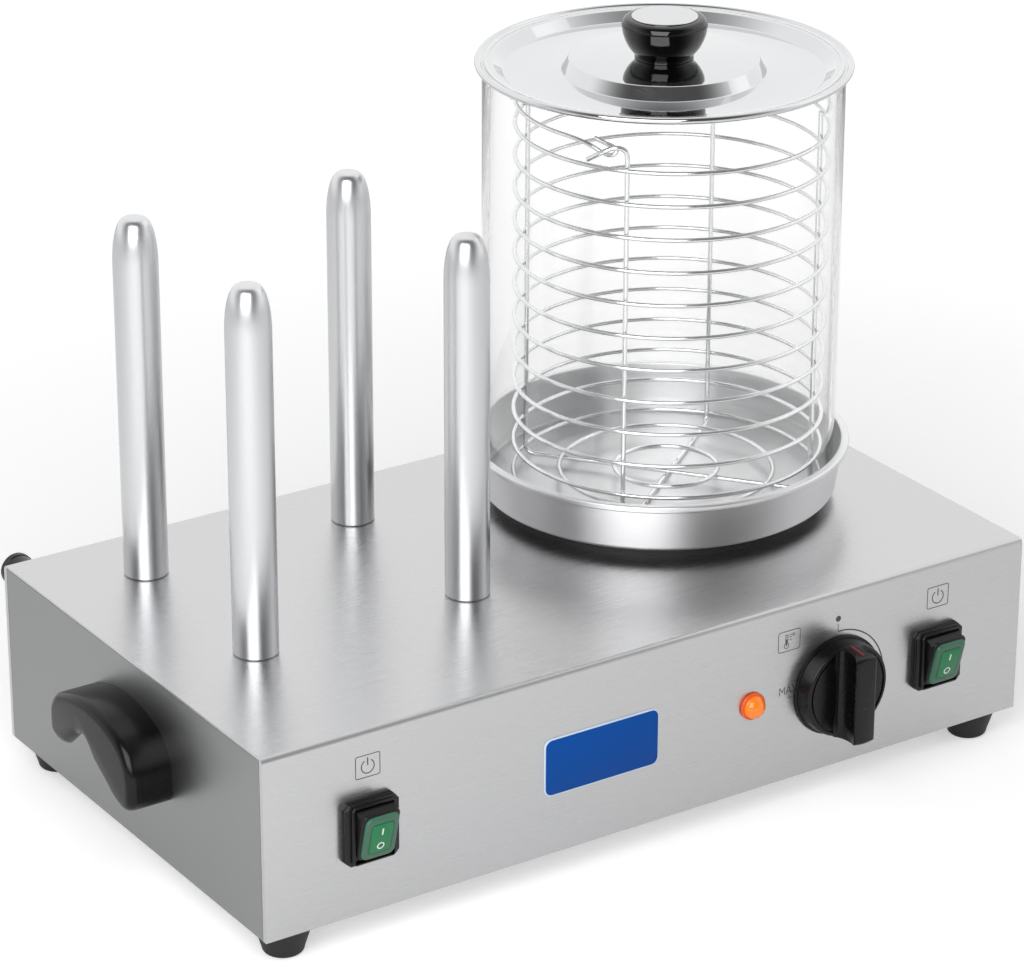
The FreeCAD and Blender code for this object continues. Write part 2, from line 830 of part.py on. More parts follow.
def make_heater_clamp():
    body = new_body("heater_clamp", (*steamer, top_z - d.sheet_thickness - d.clamp_thickness))
    x_half = d.clamp_length / 2
    y_half = d.clamp_width / 2
    pad(body, "bar", [rounded_rectangle(x_half, y_half, y_half * 0.6)], d.clamp_thickness)
    bore = d.basin_stud_radius + d.screw_clearance
    rod(body, "stud_hole", (0, 0, 0), bore, d.clamp_thickness, cut=True)
    return body


def make_heater_nut():
    base_z = top_z - d.sheet_thickness - d.clamp_thickness - d.nut_height
    bore = d.basin_stud_radius + d.running_clearance
    nut = hex_nut("heater_nut", (*steamer, base_z), d.basin_stud_radius * 1.9, bore, d.nut_height)
    return nut


def make_overheat_cutout():
    x, y = steamer
    body = new_body("overheat_cutout", (x, y + d.cutout_offset, top_z - d.sheet_thickness))
    step = d.cutout_height / 3
    revolve(body, [
        (0, -d.cutout_height),
        (d.cutout_radius * 0.7, -d.cutout_height),
        (d.cutout_radius * 0.7, -step),
        (d.cutout_radius, -step),
        (d.cutout_radius, 0),
        (0, 0),
    ])
    return body


def glass_floor():
    """Height of the basin's floor above the top."""
    return d.spacer_height + d.basin_sheet


def make_glass():
    body = new_body("glass_cylinder", (*steamer, top_z))
    low = glass_floor() + d.rest_gap
    high = d.lid_level - d.lid_sheet - d.rest_gap
    inner = d.glass_radius - d.glass_wall
    edge = d.glass_edge
    near = edge * CORNER
    revolve(body, [
        (inner, low),
        (d.glass_radius, low),
        (d.glass_radius, high - edge, d.glass_radius - near, high - near),
        (d.glass_radius - edge, high),
        (inner + edge, high, inner + near, high - near),
        (inner, high - edge),
    ])
    return body


def wire_section(radius, wire):
    """Octagon for a round wire that runs in a ring of this radius."""
    edge = wire * EIGHTH
    turns = [(wire, edge), (edge, wire), (-edge, wire), (-wire, edge)]
    turns += [(-wire, -edge), (-edge, -wire), (edge, -wire), (wire, -edge)]
    return [(radius + x, y) for x, y in turns]


def wire_ring(name, level, radius, wire, sweep=FULL_TURN):
    """Ring of wire about the basket's axis."""
    body = new_body(name, (*basket_axis, top_z + level), FreeCAD.Rotation(FreeCAD.Vector(0, 0, 1), 1))
    bind(body, "Placement.Rotation.Angle", d.upright_turn + QUARTER_TURN)
    revolve(body, wire_section(-radius, wire), "wire", sweep)
    return body


def make_basket_rings():
    """Closed rings of the basket and, over them, the rim that is open between two uprights."""
    rings = [
        wire_ring("ring_%d" % number, d.ring_first + d.ring_pitch * number, d.ring_radius, d.ring_wire)
        for number in range(RING_COUNT)
    ]
    rings.append(wire_ring("rim", d.rim_level, d.ring_radius, d.ring_wire, d.rim_sweep))
    return group("basket_rings", rings)


def layer_step():
    """Height from one crossing wire of the basket's floor to the next."""
    return d.upright_wire * 2 + d.weld_gap


def make_basket_upright(number):
    """One wire from the rim down, across the floor and up the other side."""
    body = new_body(
        "basket_wire_%d" % (number + 1), (*basket_axis, top_z), FreeCAD.Rotation(FreeCAD.Vector(0, 0, 1), 1)
    )
    bind(body, "Placement.Rotation.Angle", d.upright_turn + number * FULL_TURN / (UPRIGHT_PAIRS * 2))
    reach = d.ring_radius - d.ring_wire - d.upright_wire - d.weld_gap
    floor = glass_floor() + d.rest_gap + d.upright_wire + layer_step() * number
    bend = d.upright_bend
    near = bend * CORNER
    path = new_sketch(body, "path", "XZ_Plane")
    corners = [
        (reach, d.upright_top),
        (reach, floor + bend, reach - near, floor + near),
        (reach - bend, floor),
        (-(reach - bend), floor, -(reach - near), floor + near),
        (-reach, floor + bend),
        (-reach, d.upright_top),
    ]
    draw(path, corners, closed=False)
    section = new_sketch(body, "section", "XY_Plane", d.upright_top)
    circle = section.addGeometry(Part.Circle(
        FreeCAD.Vector(reach.value, 0, 0), FreeCAD.Vector(0, 0, 1), d.upright_wire.value))
    size = section.addConstraint(Sketcher.Constraint("Radius", circle, d.upright_wire.value))
    bind(section, "Constraints[%d]" % size, d.upright_wire)
    tie(section, circle, 3, reach, as_size(0.0))
    pipe = body.newObject("PartDesign::AdditivePipe", body.Name + "_pipe")
    pipe.Profile = section
    pipe.Spine = (path, ["Edge%d" % (i + 1) for i in range(5)])
    return body


def make_basket_floor():
    """Rings that lie on the crossing wires."""
    level = glass_floor() + d.rest_gap + layer_step() * UPRIGHT_PAIRS + d.upright_wire
    rings = [
        wire_ring("floor_ring_" + name, level, radius, d.upright_wire)
        for name, radius in (("outer", d.floor_ring_radius), ("inner", d.floor_ring_inner))
    ]
    return group("basket_floor", rings)


def make_lid():
    body = new_body("lid", (*steamer, top_z))
    sheet = d.lid_sheet
    rim = d.lid_level
    bead = d.lid_bead
    disc = rim - d.lid_disc_depth
    plateau = disc + d.lid_plateau_rise
    inside = d.glass_radius + d.rest_gap * 2
    revolve(body, [
        (0, plateau),
        (d.lid_plateau_top, plateau),
        (d.lid_plateau_base, disc),
        (d.lid_disc_radius, disc),
        (d.lid_annulus_inner, rim),
        (d.lid_radius - bead / 2, rim, d.lid_radius - bead / 2 * CORNER, rim - bead / 2 * CORNER),
        (d.lid_radius, rim - bead / 2, d.lid_radius - bead / 2 * CORNER, rim - bead * 0.85),
        (d.lid_radius - bead / 2, rim - bead),
        (inside, rim - bead),
        (inside, rim - sheet),
        (d.lid_annulus_inner + sheet * 0.4, rim - sheet),
        (d.lid_disc_radius + sheet * 0.4, disc - sheet),
        (d.lid_plateau_base - sheet * 0.8, disc - sheet),
        (d.lid_plateau_top - sheet * 0.8, plateau - sheet),
        (0, plateau - sheet),
    ])
    rod(body, "screw_hole", (0, 0, disc), screw_hole, d.lid_plateau_rise * 2, cut=True)
    return body


def plateau_level():
    """Height of the lid's raised middle above the top."""
    return d.lid_level - d.lid_disc_depth + d.lid_plateau_rise


def make_lid_knob():
    body = new_body("lid_knob", (*steamer, top_z + plateau_level()))
    bore_end = d.screw_length
    revolve(body, [
        (screw_hole, 0),
        (d.grip_neck_radius, 0),
        (d.grip_neck_radius, d.grip_neck_height,
         d.grip_neck_radius + (d.grip_radius - d.grip_neck_radius) * 0.62,
         d.grip_neck_height + (d.grip_parting - d.grip_neck_height) * 0.42),
        (d.grip_radius, d.grip_parting),
        (d.grip_top_radius, d.grip_height),
        (0, d.grip_height),
        (0, bore_end),
        (screw_hole, bore_end),
    ])
    return body


def make_lid_screw():
    x, y = steamer
    seat = (x, y, top_z + plateau_level() - d.lid_sheet)
    return screws("lid_screw", [seat], (0, 0, 1), d.screw_length)


def make_thermostat_body():
    body = new_body("thermostat_body", (knob_x, front_y, floor_z + d.knob_height), facing("front"))
    x_half = d.thermostat_width / 2
    y_half = d.thermostat_height / 2
    back = -(d.sheet_thickness + d.thermostat_depth)
    box = rounded_rectangle(x_half, y_half, x_half * 0.2)
    pad(body, "case", [box], d.thermostat_depth, back)
    ear = (x_half * 0.8, d.ear_height, d.sheet_thickness)
    for name, y in (("upper_ear", y_half), ("lower_ear", -y_half - d.ear_height)):
        block(body, name, (-x_half * 0.4, y, -d.sheet_thickness * 2), ear)
    bore_base = -(d.sheet_thickness + d.shaft_inside + d.running_clearance)
    rod(body, "shaft_bore", (0, 0, bore_base), d.shaft_radius + d.running_clearance,
        d.shaft_inside + d.sheet_thickness, cut=True)
    return body


def make_thermostat_shaft():
    body = new_body("thermostat_shaft", (knob_x, front_y, floor_z + d.knob_height), facing("front"))
    low = -(d.sheet_thickness + d.shaft_inside)
    rod(body, "shaft", (0, 0, low), d.shaft_radius, d.shaft_in_knob - low)
    return body


def make_thermostat_knob():
    body = new_body("thermostat_knob", (knob_x, front_y, floor_z + d.knob_height), facing("front"))
    gap = d.knob_gap
    flange = gap + d.knob_flange
    bore = d.shaft_radius + d.running_clearance / 2
    ceiling = d.knob_face - d.knob_wall
    edge = d.knob_wall * 0.6
    revolve(body, [
        (bore, gap),
        (d.knob_hub_radius, gap),
        (d.knob_hub_radius, ceiling),
        (d.knob_face_radius - d.knob_wall, ceiling),
        (d.knob_skirt_radius - d.knob_wall, gap),
        (d.knob_flange_radius, gap),
        (d.knob_flange_radius, flange),
        (d.knob_skirt_radius, flange),
        (d.knob_face_radius, d.knob_face - edge,
         d.knob_face_radius - edge * CORNER, d.knob_face - edge * CORNER),
        (d.knob_face_radius - edge, d.knob_face),
        (bore, d.knob_face),
    ])
    loft = body.newObject("PartDesign::AdditiveLoft", "thermostat_knob_grip")
    foot = outline_sketch(body, "grip_foot", "XY_Plane", [rounded_rectangle(
        d.grip_width / 2, d.grip_half_length, d.grip_width * 0.4)], ceiling)
    crest = outline_sketch(body, "grip_crest", "XY_Plane", [rounded_rectangle(
        d.grip_crest_width / 2, d.grip_half_length - d.knob_wall * 0.4, d.grip_crest_width * 0.4)],
        d.knob_reach)
    loft.Profile = foot
    loft.Sections = [crest]
    loft.Ruled = True
    rod(body, "shaft_bore", (0, 0, gap), bore, d.shaft_in_knob - gap, cut=True)
    return body


def switch_columns():
    """Centres of the two switches, by side."""
    return {"left": -(half_width - d.switch_inset_left), "right": half_width - d.switch_inset_right}


def window_half_width():
    """Half width of a switch's window in the front panel."""
    return d.rocker_width / 2 + d.rocker_gap + d.switch_wall


def window_half_height():
    """Half height of a switch's window in the front panel."""
    return d.rocker_radius + d.rocker_gap + d.switch_wall


def make_switch_frame(side, x):
    body = new_body("switch_frame_" + side, (x, front_y, floor_z + d.switch_height), facing("front"))
    x_half = d.switch_frame_width / 2
    y_half = d.switch_frame_height / 2
    bezel = pad(body, "bezel", [rectangle(-x_half, -y_half, x_half, y_half)], d.switch_frame_depth)
    dress(body, "Chamfer", "bevel", d.switch_chamfer, bezel,
          lambda box: box.ZMin > d.switch_frame_depth.value - 0.01)
    x_tub = window_half_width() - d.running_clearance
    y_tub = window_half_height() - d.running_clearance
    block(body, "tub", (-x_tub, -y_tub, -d.switch_tub_depth), (x_tub * 2, y_tub * 2, d.switch_tub_depth))
    x_room = d.rocker_width / 2 + d.rocker_gap
    y_room = d.rocker_radius + d.rocker_gap
    depth = d.switch_tub_depth - d.switch_wall
    block(body, "room", (-x_room, -y_room, -depth),
          (x_room * 2, y_room * 2, depth + d.switch_frame_depth), cut=True)
    reach = d.rocker_width / 2 + d.rocker_pin_length + d.rocker_gap
    rod(body, "pin_hole", (-reach, 0, d.rocker_axis_reach), d.rocker_pin_radius + d.running_clearance,
        reach * 2, (1, 0, 0), cut=True)
    return body


def rocker_place(x):
    """Position of a rocker's hinge axis."""
    return (x, front_y - d.rocker_axis_reach, floor_z + d.switch_height)


def rocker_body(label, x):
    """Body whose local X is the hinge axis and local Z stands out of the tilted face."""
    body = new_body(label, rocker_place(x), FreeCAD.Rotation(FreeCAD.Vector(1, 0, 0), QUARTER_TURN))
    bind(body, "Placement.Rotation.Angle", QUARTER_TURN + d.rocker_tilt)
    return body


def make_switch_rocker(side, x):
    body = rocker_body("switch_rocker_" + side, x)
    x_half = d.rocker_width / 2
    rod(body, "drum", (-x_half, 0, 0), d.rocker_radius, d.rocker_width, (1, 0, 0))
    block(body, "face", (-x_half, -d.rocker_radius, d.rocker_face),
          (d.rocker_width, d.rocker_radius * 2, d.rocker_radius), cut=True)
    pins = x_half + d.rocker_pin_length
    rod(body, "pins", (-pins, 0, 0), d.rocker_pin_radius, pins * 2, (1, 0, 0))
    return body


def make_switch_cap(side, x):
    body = rocker_body("switch_cap_" + side, x)
    x_half = d.cap_width / 2
    slab = pad(body, "slab", [rectangle(-x_half, -d.cap_below, x_half, d.cap_above)],
               d.cap_thickness, d.rocker_face)
    top = d.rocker_face + d.cap_thickness
    dress(body, "Fillet", "round_edge", d.cap_edge, slab, lambda box: box.ZMin > top.value - 0.01)
    return body


def make_switch_terminals(side, x):
    blades = []
    for step in (-1, 0, 1):
        blade = doc.addObject("Part::Box", "terminal_%s_%d" % (side, step + 2))
        bind(blade, "Length", d.terminal_width)
        bind(blade, "Width", d.terminal_length)
        bind(blade, "Height", d.terminal_thickness)
        place(blade, (
            x - d.terminal_width / 2,
            front_y + d.switch_tub_depth,
            floor_z + d.switch_height + d.terminal_spacing * step - d.terminal_thickness / 2,
        ))
        blades.append(blade)
    return group("switch_terminals_" + side, blades)


def make_lamp_lens():
    body = new_body("pilot_lamp_lens", (lamp_x, front_y, floor_z + d.lamp_height), facing("front"))
    dome = d.lamp_reach - d.lamp_flange
    revolve(body, [
        (0, -d.lamp_neck_length),
        (d.lamp_neck_radius, -d.lamp_neck_length),
        (d.lamp_neck_radius, 0),
        (d.lamp_radius, 0),
        (d.lamp_radius, d.lamp_flange, d.lamp_radius * 0.82, d.lamp_flange + dome * 0.64),
        (d.lamp_radius * 0.35, d.lamp_reach),
        (0, d.lamp_reach),
    ])
    return body


def make_lamp_body():
    body = new_body("pilot_lamp_body", (lamp_x, front_y, floor_z + d.lamp_height), facing("front"))
    sheet = d.sheet_thickness
    sleeve = d.lamp_neck_radius + d.screw_clearance
    nut_end = -(sheet + d.nut_height)
    revolve(body, [
        (0, -(d.lamp_neck_length + d.lamp_body_length)),
        (d.lamp_body_radius, -(d.lamp_neck_length + d.lamp_body_length)),
        (d.lamp_body_radius, nut_end),
        (d.lamp_radius, nut_end),
        (d.lamp_radius, -sheet),
        (sleeve, -sheet),
        (sleeve, -d.lamp_neck_length - d.screw_clearance),
        (0, -d.lamp_neck_length - d.screw_clearance),
    ])
    return body


def make_badge_plate():
    body = new_body("badge_plate", (d.badge_x, front_y, floor_z + d.badge_height), facing("front"))
    plate = rounded_rectangle(d.badge_width / 2, d.badge_rise / 2, d.badge_corner)
    pad(body, "plate", [plate], d.badge_thickness)
    return body


def make_cable_gland():
    body = new_body("cable_gland", (gland_x, rear_y, floor_z + d.gland_height), facing("rear"))
    body_top = d.gland_reach * 0.55
    revolve(body, [
        (d.gland_bore, -d.gland_neck_length),
        (d.gland_neck_radius, -d.gland_neck_length),
        (d.gland_neck_radius, 0),
        (d.gland_radius, 0),
        (d.gland_radius, body_top, d.gland_radius * 0.93, d.gland_reach * 0.84),
        (d.gland_bore * 1.6, d.gland_reach),
        (d.gland_bore, d.gland_reach),
    ])
    return body


def make_gland_nut():
    y = rear_y - d.sheet_thickness
    nut = hex_nut(
        "gland_nut", (gland_x, y, floor_z + d.gland_height), d.gland_radius,
        d.gland_neck_radius + d.running_clearance, d.nut_height, along((0, -1, 0)),
    )
    return nut


def make_terminal_block():
    x = -(half_width - d.connector_inset_x)
    y = rear_y - d.connector_inset_y
    body = new_body("terminal_block", (x, y, floor_z + d.sheet_thickness))
    x_half = d.connector_width / 2
    y_half = d.connector_depth / 2
    pad(body, "block", [rectangle(-x_half, -y_half, x_half, y_half)], d.connector_height)
    cell = d.connector_width / 5
    slot = rectangle(-cell * 2 - cell * 0.35, -y_half * 0.6, -cell * 2 + cell * 0.35, y_half * 0.6)
    first = pocket(body, "cell", [slot], d.connector_height * 0.5, d.connector_height * 0.5)
    row = body.newObject("PartDesign::LinearPattern", "terminal_block_cells")
    row.Originals = [first]
    row.Direction = (first.Profile[0], ["H_Axis"])
    bind(row, "Length", cell * 4)
    row.Occurrences = 5
    body.Tip = row
    return body


def make_all():
    """Build every sub-part of the machine."""
    parts = [make_base_plate(), make_top_cover(), make_foot_screws(), make_base_screws()]
    parts += [make_rear_screws(), make_handle_screws(), make_spike_nuts()]
    for side in ("left", "right"):
        parts += [make_side_panel(side), make_handle(side)]
    for name, (x, y) in foot_seats().items():
        parts.append(make_foot(name, x, y))
    for name, (x, y) in spike_seats().items():
        parts += [make_spike(name, x, y), make_spike_heater(name, x, y)]
    parts += [make_spacer_ring(), make_basin(), make_hotplate(), make_heater_clamp()]
    parts += [make_heater_nut(), make_overheat_cutout(), make_glass(), make_basket_rings()]
    parts += [make_basket_upright(number) for number in range(UPRIGHT_PAIRS)]
    parts += [make_basket_floor(), make_lid(), make_lid_knob(), make_lid_screw()]
    parts += [make_thermostat_body(), make_thermostat_shaft(), make_thermostat_knob()]
    for side, x in switch_columns().items():
        parts += [make_switch_frame(side, x), make_switch_rocker(side, x)]
        parts += [make_switch_cap(side, x), make_switch_terminals(side, x)]
    parts += [make_lamp_lens(), make_lamp_body(), make_badge_plate()]
    parts += [make_cable_gland(), make_gland_nut(), make_terminal_block()]
    return parts


CUTS = ("PartDesign::Pocket", "PartDesign::SubtractiveBox", "PartDesign::SubtractiveCylinder")


def cuts_nothing(cut):
    """True where a cut leaves its base's volume as it was."""
    return cut.Shape.Volume > cut.BaseFeature.Shape.Volume - 1e-3


def check(parts):
    """Stop with a message if a feature failed or a cut removed nothing."""
    failed = [o for o in doc.Objects if "Invalid" in o.State or "Error" in o.State]
    if failed:
        raise RuntimeError("; ".join("%s: %s" % (o.Name, o.getStatusString()) for o in failed))
    poor = [part.Label for part in parts if part.Shape.isNull() or not part.Shape.isValid()]
    if poor:
        raise RuntimeError("no valid shape: " + ", ".join(poor))
    idle = [cut.Name for cut in doc.Objects if cut.TypeId in CUTS and cuts_nothing(cut)]
    if idle:
        raise RuntimeError("cuts nothing: " + ", ".join(idle))


def main():
    parts = make_all()
    doc.recompute()
    check(parts)
    os.makedirs("parts", exist_ok=True)
    for part in parts:
        part.Shape.exportStep("parts/%s.step" % part.Label)
    print("%d sub-parts written" % len(parts))


main()
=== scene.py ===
"""Studio picture of a counter-top snack toaster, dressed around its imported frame.

Sizes are in millimetres, as in the machine's own drawing: +X runs along the control front, +Y to the
rear and +Z up, with the origin on the counter under the middle of the machine.
"""
import json
import logging
import math
from dataclasses import dataclass, field
from enum import Enum
from typing import Sequence

import bpy
from mathutils import Matrix, Vector

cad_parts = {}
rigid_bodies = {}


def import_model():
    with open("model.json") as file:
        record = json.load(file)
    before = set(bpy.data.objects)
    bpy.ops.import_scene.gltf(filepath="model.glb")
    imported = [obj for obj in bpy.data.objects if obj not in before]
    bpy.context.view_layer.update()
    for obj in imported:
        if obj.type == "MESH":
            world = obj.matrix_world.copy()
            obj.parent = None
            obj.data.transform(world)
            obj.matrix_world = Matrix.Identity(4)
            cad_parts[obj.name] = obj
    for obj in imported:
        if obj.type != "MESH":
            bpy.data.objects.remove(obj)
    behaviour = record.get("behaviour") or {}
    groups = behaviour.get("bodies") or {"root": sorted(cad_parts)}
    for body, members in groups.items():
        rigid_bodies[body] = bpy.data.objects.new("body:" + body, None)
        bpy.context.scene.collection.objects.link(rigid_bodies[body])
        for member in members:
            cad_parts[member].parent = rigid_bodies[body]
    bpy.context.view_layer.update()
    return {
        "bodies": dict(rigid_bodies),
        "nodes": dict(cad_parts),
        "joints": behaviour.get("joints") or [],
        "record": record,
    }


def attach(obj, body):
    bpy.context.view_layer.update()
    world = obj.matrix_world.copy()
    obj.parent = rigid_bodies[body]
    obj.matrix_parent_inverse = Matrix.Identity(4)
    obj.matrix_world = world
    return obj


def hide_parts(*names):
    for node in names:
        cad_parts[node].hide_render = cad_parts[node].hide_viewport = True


LOG = logging.getLogger("snack_toaster")
MM = 0.001
FLOOR = 17.5
TOP = 124.1
FRONT = -137.0
MIDDLE = 5.5
HALF_WIDTH = 250.0
STEAMER = (117.5, 35.5)
BASKET = (121.8, 32.6)

WHITE = (1.0, 1.0, 1.0, 1.0)

Pair = tuple[float, float]
Triple = tuple[float, float, float]


def colour(code: str) -> tuple[float, float, float, float]:
    """Turn an sRGB hex code into a linear colour.

    Args:
        code: The colour as "#RRGGBB".

    Returns:
        Linear red, green, blue and an alpha of 1.
    """
    parts = [int(code[i:i + 2], 16) / 255 for i in (1, 3, 5)]
    linear = [c / 12.92 if c <= 0.04045 else ((c + 0.055) / 1.055) ** 2.4 for c in parts]
    return (linear[0], linear[1], linear[2], 1.0)


def add_node(
    tree: bpy.types.NodeTree,
    kind: str,
    values: dict[str, object] | None = None,
    links: dict[str, bpy.types.NodeSocket] | None = None,
    **settings: object,
) -> bpy.types.Node:
    """Add a shader node with its settings, its own values and what feeds it.

    Args:
        tree: The node tree that gets the node.
        kind: The node's type name.
        values: Values for its inputs, by name or number.
        links: Sockets that feed its inputs, by name or number.
        settings: Properties of the node itself.

    Returns:
        The new node.
    """
    node = tree.nodes.new(kind)
    for name, value in settings.items():
        setattr(node, name, value)
    for name, value in (values or {}).items():
        node.inputs[name].default_value = value
    for name, socket in (links or {}).items():
        tree.links.new(socket, node.inputs[name])
    return node


def combine(
    tree: bpy.types.NodeTree,
    operation: str,
    first: bpy.types.NodeSocket,
    second: bpy.types.NodeSocket | float,
) -> bpy.types.NodeSocket:
    """Combine a socket with another one, or with a number, and return the result."""
    if isinstance(second, float):
        node = add_node(tree, "ShaderNodeMath", {1: second}, {0: first}, operation=operation)
    else:
        node = add_node(tree, "ShaderNodeMath", None, {0: first, 1: second}, operation=operation)
    return node.outputs["Value"]


def split_rays(tree: bpy.types.NodeTree) -> tuple[bpy.types.NodeSocket, bpy.types.NodeSocket]:
    """Tell what the camera sees directly, or through glass, from what a shiny surface mirrors.

    Args:
        tree: The node tree that gets the masks.

    Returns:
        A mask of the direct view and a mask of the mirrored one.
    """
    path = add_node(tree, "ShaderNodeLightPath").outputs
    bounced = combine(tree, "GREATER_THAN", path["Glossy Depth"], 0.5)
    seen = combine(tree, "MAXIMUM", path["Is Camera Ray"], path["Is Transmission Ray"])
    return combine(tree, "SUBTRACT", seen, bounced), bounced


class Grain(Enum):
    """How a surface was made, as the length of its marks along X, Y and Z in millimetres."""

    BRUSHED_ALONG_X = (45.0, 0.6, 0.6)
    BRUSHED_ALONG_Y = (0.6, 45.0, 0.6)
    MOULDED = (0.8, 0.8, 0.8)
    ROLLED = (6.0, 6.0, 6.0)


@dataclass(frozen=True)
class Finish:
    """A solid material and how its surface was made."""

    name: str
    code: str
    roughness: float
    metallic: float = 0.0
    grain: Grain = Grain.MOULDED
    relief_mm: float = 0.01
    contrast: float = 0.04
    spread: float = 0.05
    coat: float = 0.0
    glow: float = 0.0
    specular: float = 0.5

    def build(self) -> bpy.types.Material:
        """Make the material.

        Returns:
            A material whose colour, gloss and relief follow the grain.
        """
        material = bpy.data.materials.new(self.name)
        material.use_nodes = True
        tree = material.node_tree
        shader = tree.nodes["Principled BSDF"]
        noise = self.pattern(tree)
        base = colour(self.code)
        dark = tuple(c * (1 - self.contrast) for c in base[:3]) + (1.0,)
        light = tuple(min(1.0, c * (1 + self.contrast)) for c in base[:3]) + (1.0,)
        tint = add_node(tree, "ShaderNodeMix", {6: dark, 7: light}, {0: noise}, data_type="RGBA")
        gloss = add_node(tree, "ShaderNodeMapRange", {
            "To Min": max(0.0, self.roughness - self.spread), "To Max": self.roughness + self.spread,
        }, {"Value": noise})
        relief = add_node(tree, "ShaderNodeBump", {"Distance": self.relief_mm * MM, "Strength": 0.6},
                          {"Height": noise})
        tree.links.new(tint.outputs[2], shader.inputs["Base Color"])
        tree.links.new(gloss.outputs["Result"], shader.inputs["Roughness"])
        tree.links.new(relief.outputs["Normal"], shader.inputs["Normal"])
        shader.inputs["Metallic"].default_value = self.metallic
        shader.inputs["Coat Weight"].default_value = self.coat
        shader.inputs["Specular IOR Level"].default_value = self.specular
        if self.glow:
            shader.inputs["Emission Color"].default_value = base
            shader.inputs["Emission Strength"].default_value = self.glow
        return material

    def pattern(self, tree: bpy.types.NodeTree) -> bpy.types.NodeSocket:
        """Add the noise that stands for the grain and return its output."""
        place = add_node(tree, "ShaderNodeTexCoord")
        scale = [1 / (length * MM) for length in self.grain.value]
        mapping = add_node(tree, "ShaderNodeMapping", {"Scale": scale}, {"Vector": place.outputs["Object"]})
        noise = add_node(tree, "ShaderNodeTexNoise", {"Scale": 1.0, "Detail": 3.0, "Roughness": 0.6},
                         {"Vector": mapping.outputs["Vector"]})
        return noise.outputs["Fac"]


@dataclass(frozen=True)
class TurnedFinish(Finish):
    """Metal that was spun or turned, with rings about the piece's own upright axis."""

    centre: Pair = STEAMER
    ring_mm: float = 1.2

    def pattern(self, tree: bpy.types.NodeTree) -> bpy.types.NodeSocket:
        """Add noise that changes with the distance from the axis and with height only."""
        place = add_node(tree, "ShaderNodeTexCoord")
        moved = add_node(tree, "ShaderNodeMapping", {
            "Location": (-self.centre[0] * MM, -self.centre[1] * MM, 0.0)}, {"Vector": place.outputs["Object"]})
        split = add_node(tree, "ShaderNodeSeparateXYZ", None, {"Vector": moved.outputs["Vector"]})
        flat = add_node(tree, "ShaderNodeCombineXYZ", None, {"X": split.outputs["X"], "Y": split.outputs["Y"]})
        reach = add_node(tree, "ShaderNodeVectorMath", None, {0: flat.outputs["Vector"]}, operation="LENGTH")
        ring = add_node(tree, "ShaderNodeCombineXYZ", None,
                        {"X": reach.outputs["Value"], "Y": split.outputs["Z"]})
        noise = add_node(tree, "ShaderNodeTexNoise",
                         {"Scale": 1 / (self.ring_mm * MM), "Detail": 2.0, "Roughness": 0.6},
                         {"Vector": ring.outputs["Vector"]})
        return noise.outputs["Fac"]


@dataclass(frozen=True)
class ClearGlass:
    """Borosilicate tube glass: colourless, drawn smooth, so only its edges and reflections show."""

    name: str = "borosilicate_tube_glass"
    code: str = "#FFFFFF"
    ior: float = 1.03
    coat_ior: float = 1.47

    def build(self) -> bpy.types.Material:
        """Make the material, which lets light through to what stands behind it.

        Returns:
            A clear material with a faint ripple from drawing the tube.
        """
        material = bpy.data.materials.new(self.name)
        material.use_nodes = True
        tree = material.node_tree
        shader = tree.nodes["Principled BSDF"]
        place = add_node(tree, "ShaderNodeTexCoord")
        ripple = add_node(tree, "ShaderNodeTexNoise", {"Scale": 9.0, "Detail": 1.0},
                          {"Vector": place.outputs["Object"]})
        relief = add_node(tree, "ShaderNodeBump", {"Distance": 0.02 * MM, "Strength": 0.3},
                          {"Height": ripple.outputs["Fac"]})
        shader.inputs["Base Color"].default_value = colour(self.code)
        shader.inputs["Roughness"].default_value = 0.0
        shader.inputs["IOR"].default_value = self.ior
        shader.inputs["Transmission Weight"].default_value = 1.0
        shader.inputs["Coat Weight"].default_value = 1.0
        shader.inputs["Coat Roughness"].default_value = 0.0
        shader.inputs["Coat IOR"].default_value = self.coat_ior
        tree.links.new(relief.outputs["Normal"], shader.inputs["Normal"])
        path = add_node(tree, "ShaderNodeLightPath")
        open_air = add_node(tree, "ShaderNodeBsdfTransparent", {"Color": colour("#FAFCFB")})
        mix = add_node(tree, "ShaderNodeMixShader", None, {
            0: path.outputs["Is Shadow Ray"], 1: shader.outputs["BSDF"], 2: open_air.outputs["BSDF"]})
        tree.links.new(mix.outputs["Shader"], tree.nodes["Material Output"].inputs["Surface"])
        return material


# Stainless sheet, 430 grade with a fine satin belt grain: fine lines along the sheet that blur reflections
SHEET = Finish("satin_stainless_sheet", "#C4C4C5", 0.28, 1.0, Grain.BRUSHED_ALONG_X, 0.0007, 0.016, 0.025)
# The same sheet with its grain along the side, its colour made darker than the top's as painted shade, with
# broader reflections
SHEET_SIDE_PAINTED_SHADE = Finish("satin_stainless_side_painted_shade", "#939494", 0.36, 1.0, Grain.BRUSHED_ALONG_Y, 0.0007, 0.016, 0.025)
# Stainless sheet, pressed and buffed to a mirror: broad soft waves in sharp reflections
MIRROR = Finish("mirror_stainless_pressing", "#CFD0D1", 0.05, 1.0, Grain.ROLLED, 0.01, 0.02, 0.03)
# Stainless cap let into the lid's knob, pressed and polished: a clear but soft reflection
INSERT = Finish("polished_steel_insert", "#C9CACB", 0.14, 1.0, Grain.ROLLED, 0.005, 0.02, 0.03)
# Spun aluminium, satin from the lathe: rings about its axis
BASIN = TurnedFinish("spun_aluminium", "#DEDEDF", 0.37, 1.0, relief_mm=0.008, contrast=0.04, spread=0.04)
# Aluminium tube, turned and fine ground: fine rings round each spike and a long soft highlight
SPIKE = Finish("turned_aluminium_tube", "#D2D3D5", 0.3, 1.0, Grain.BRUSHED_ALONG_X, 0.003, 0.03, 0.03)
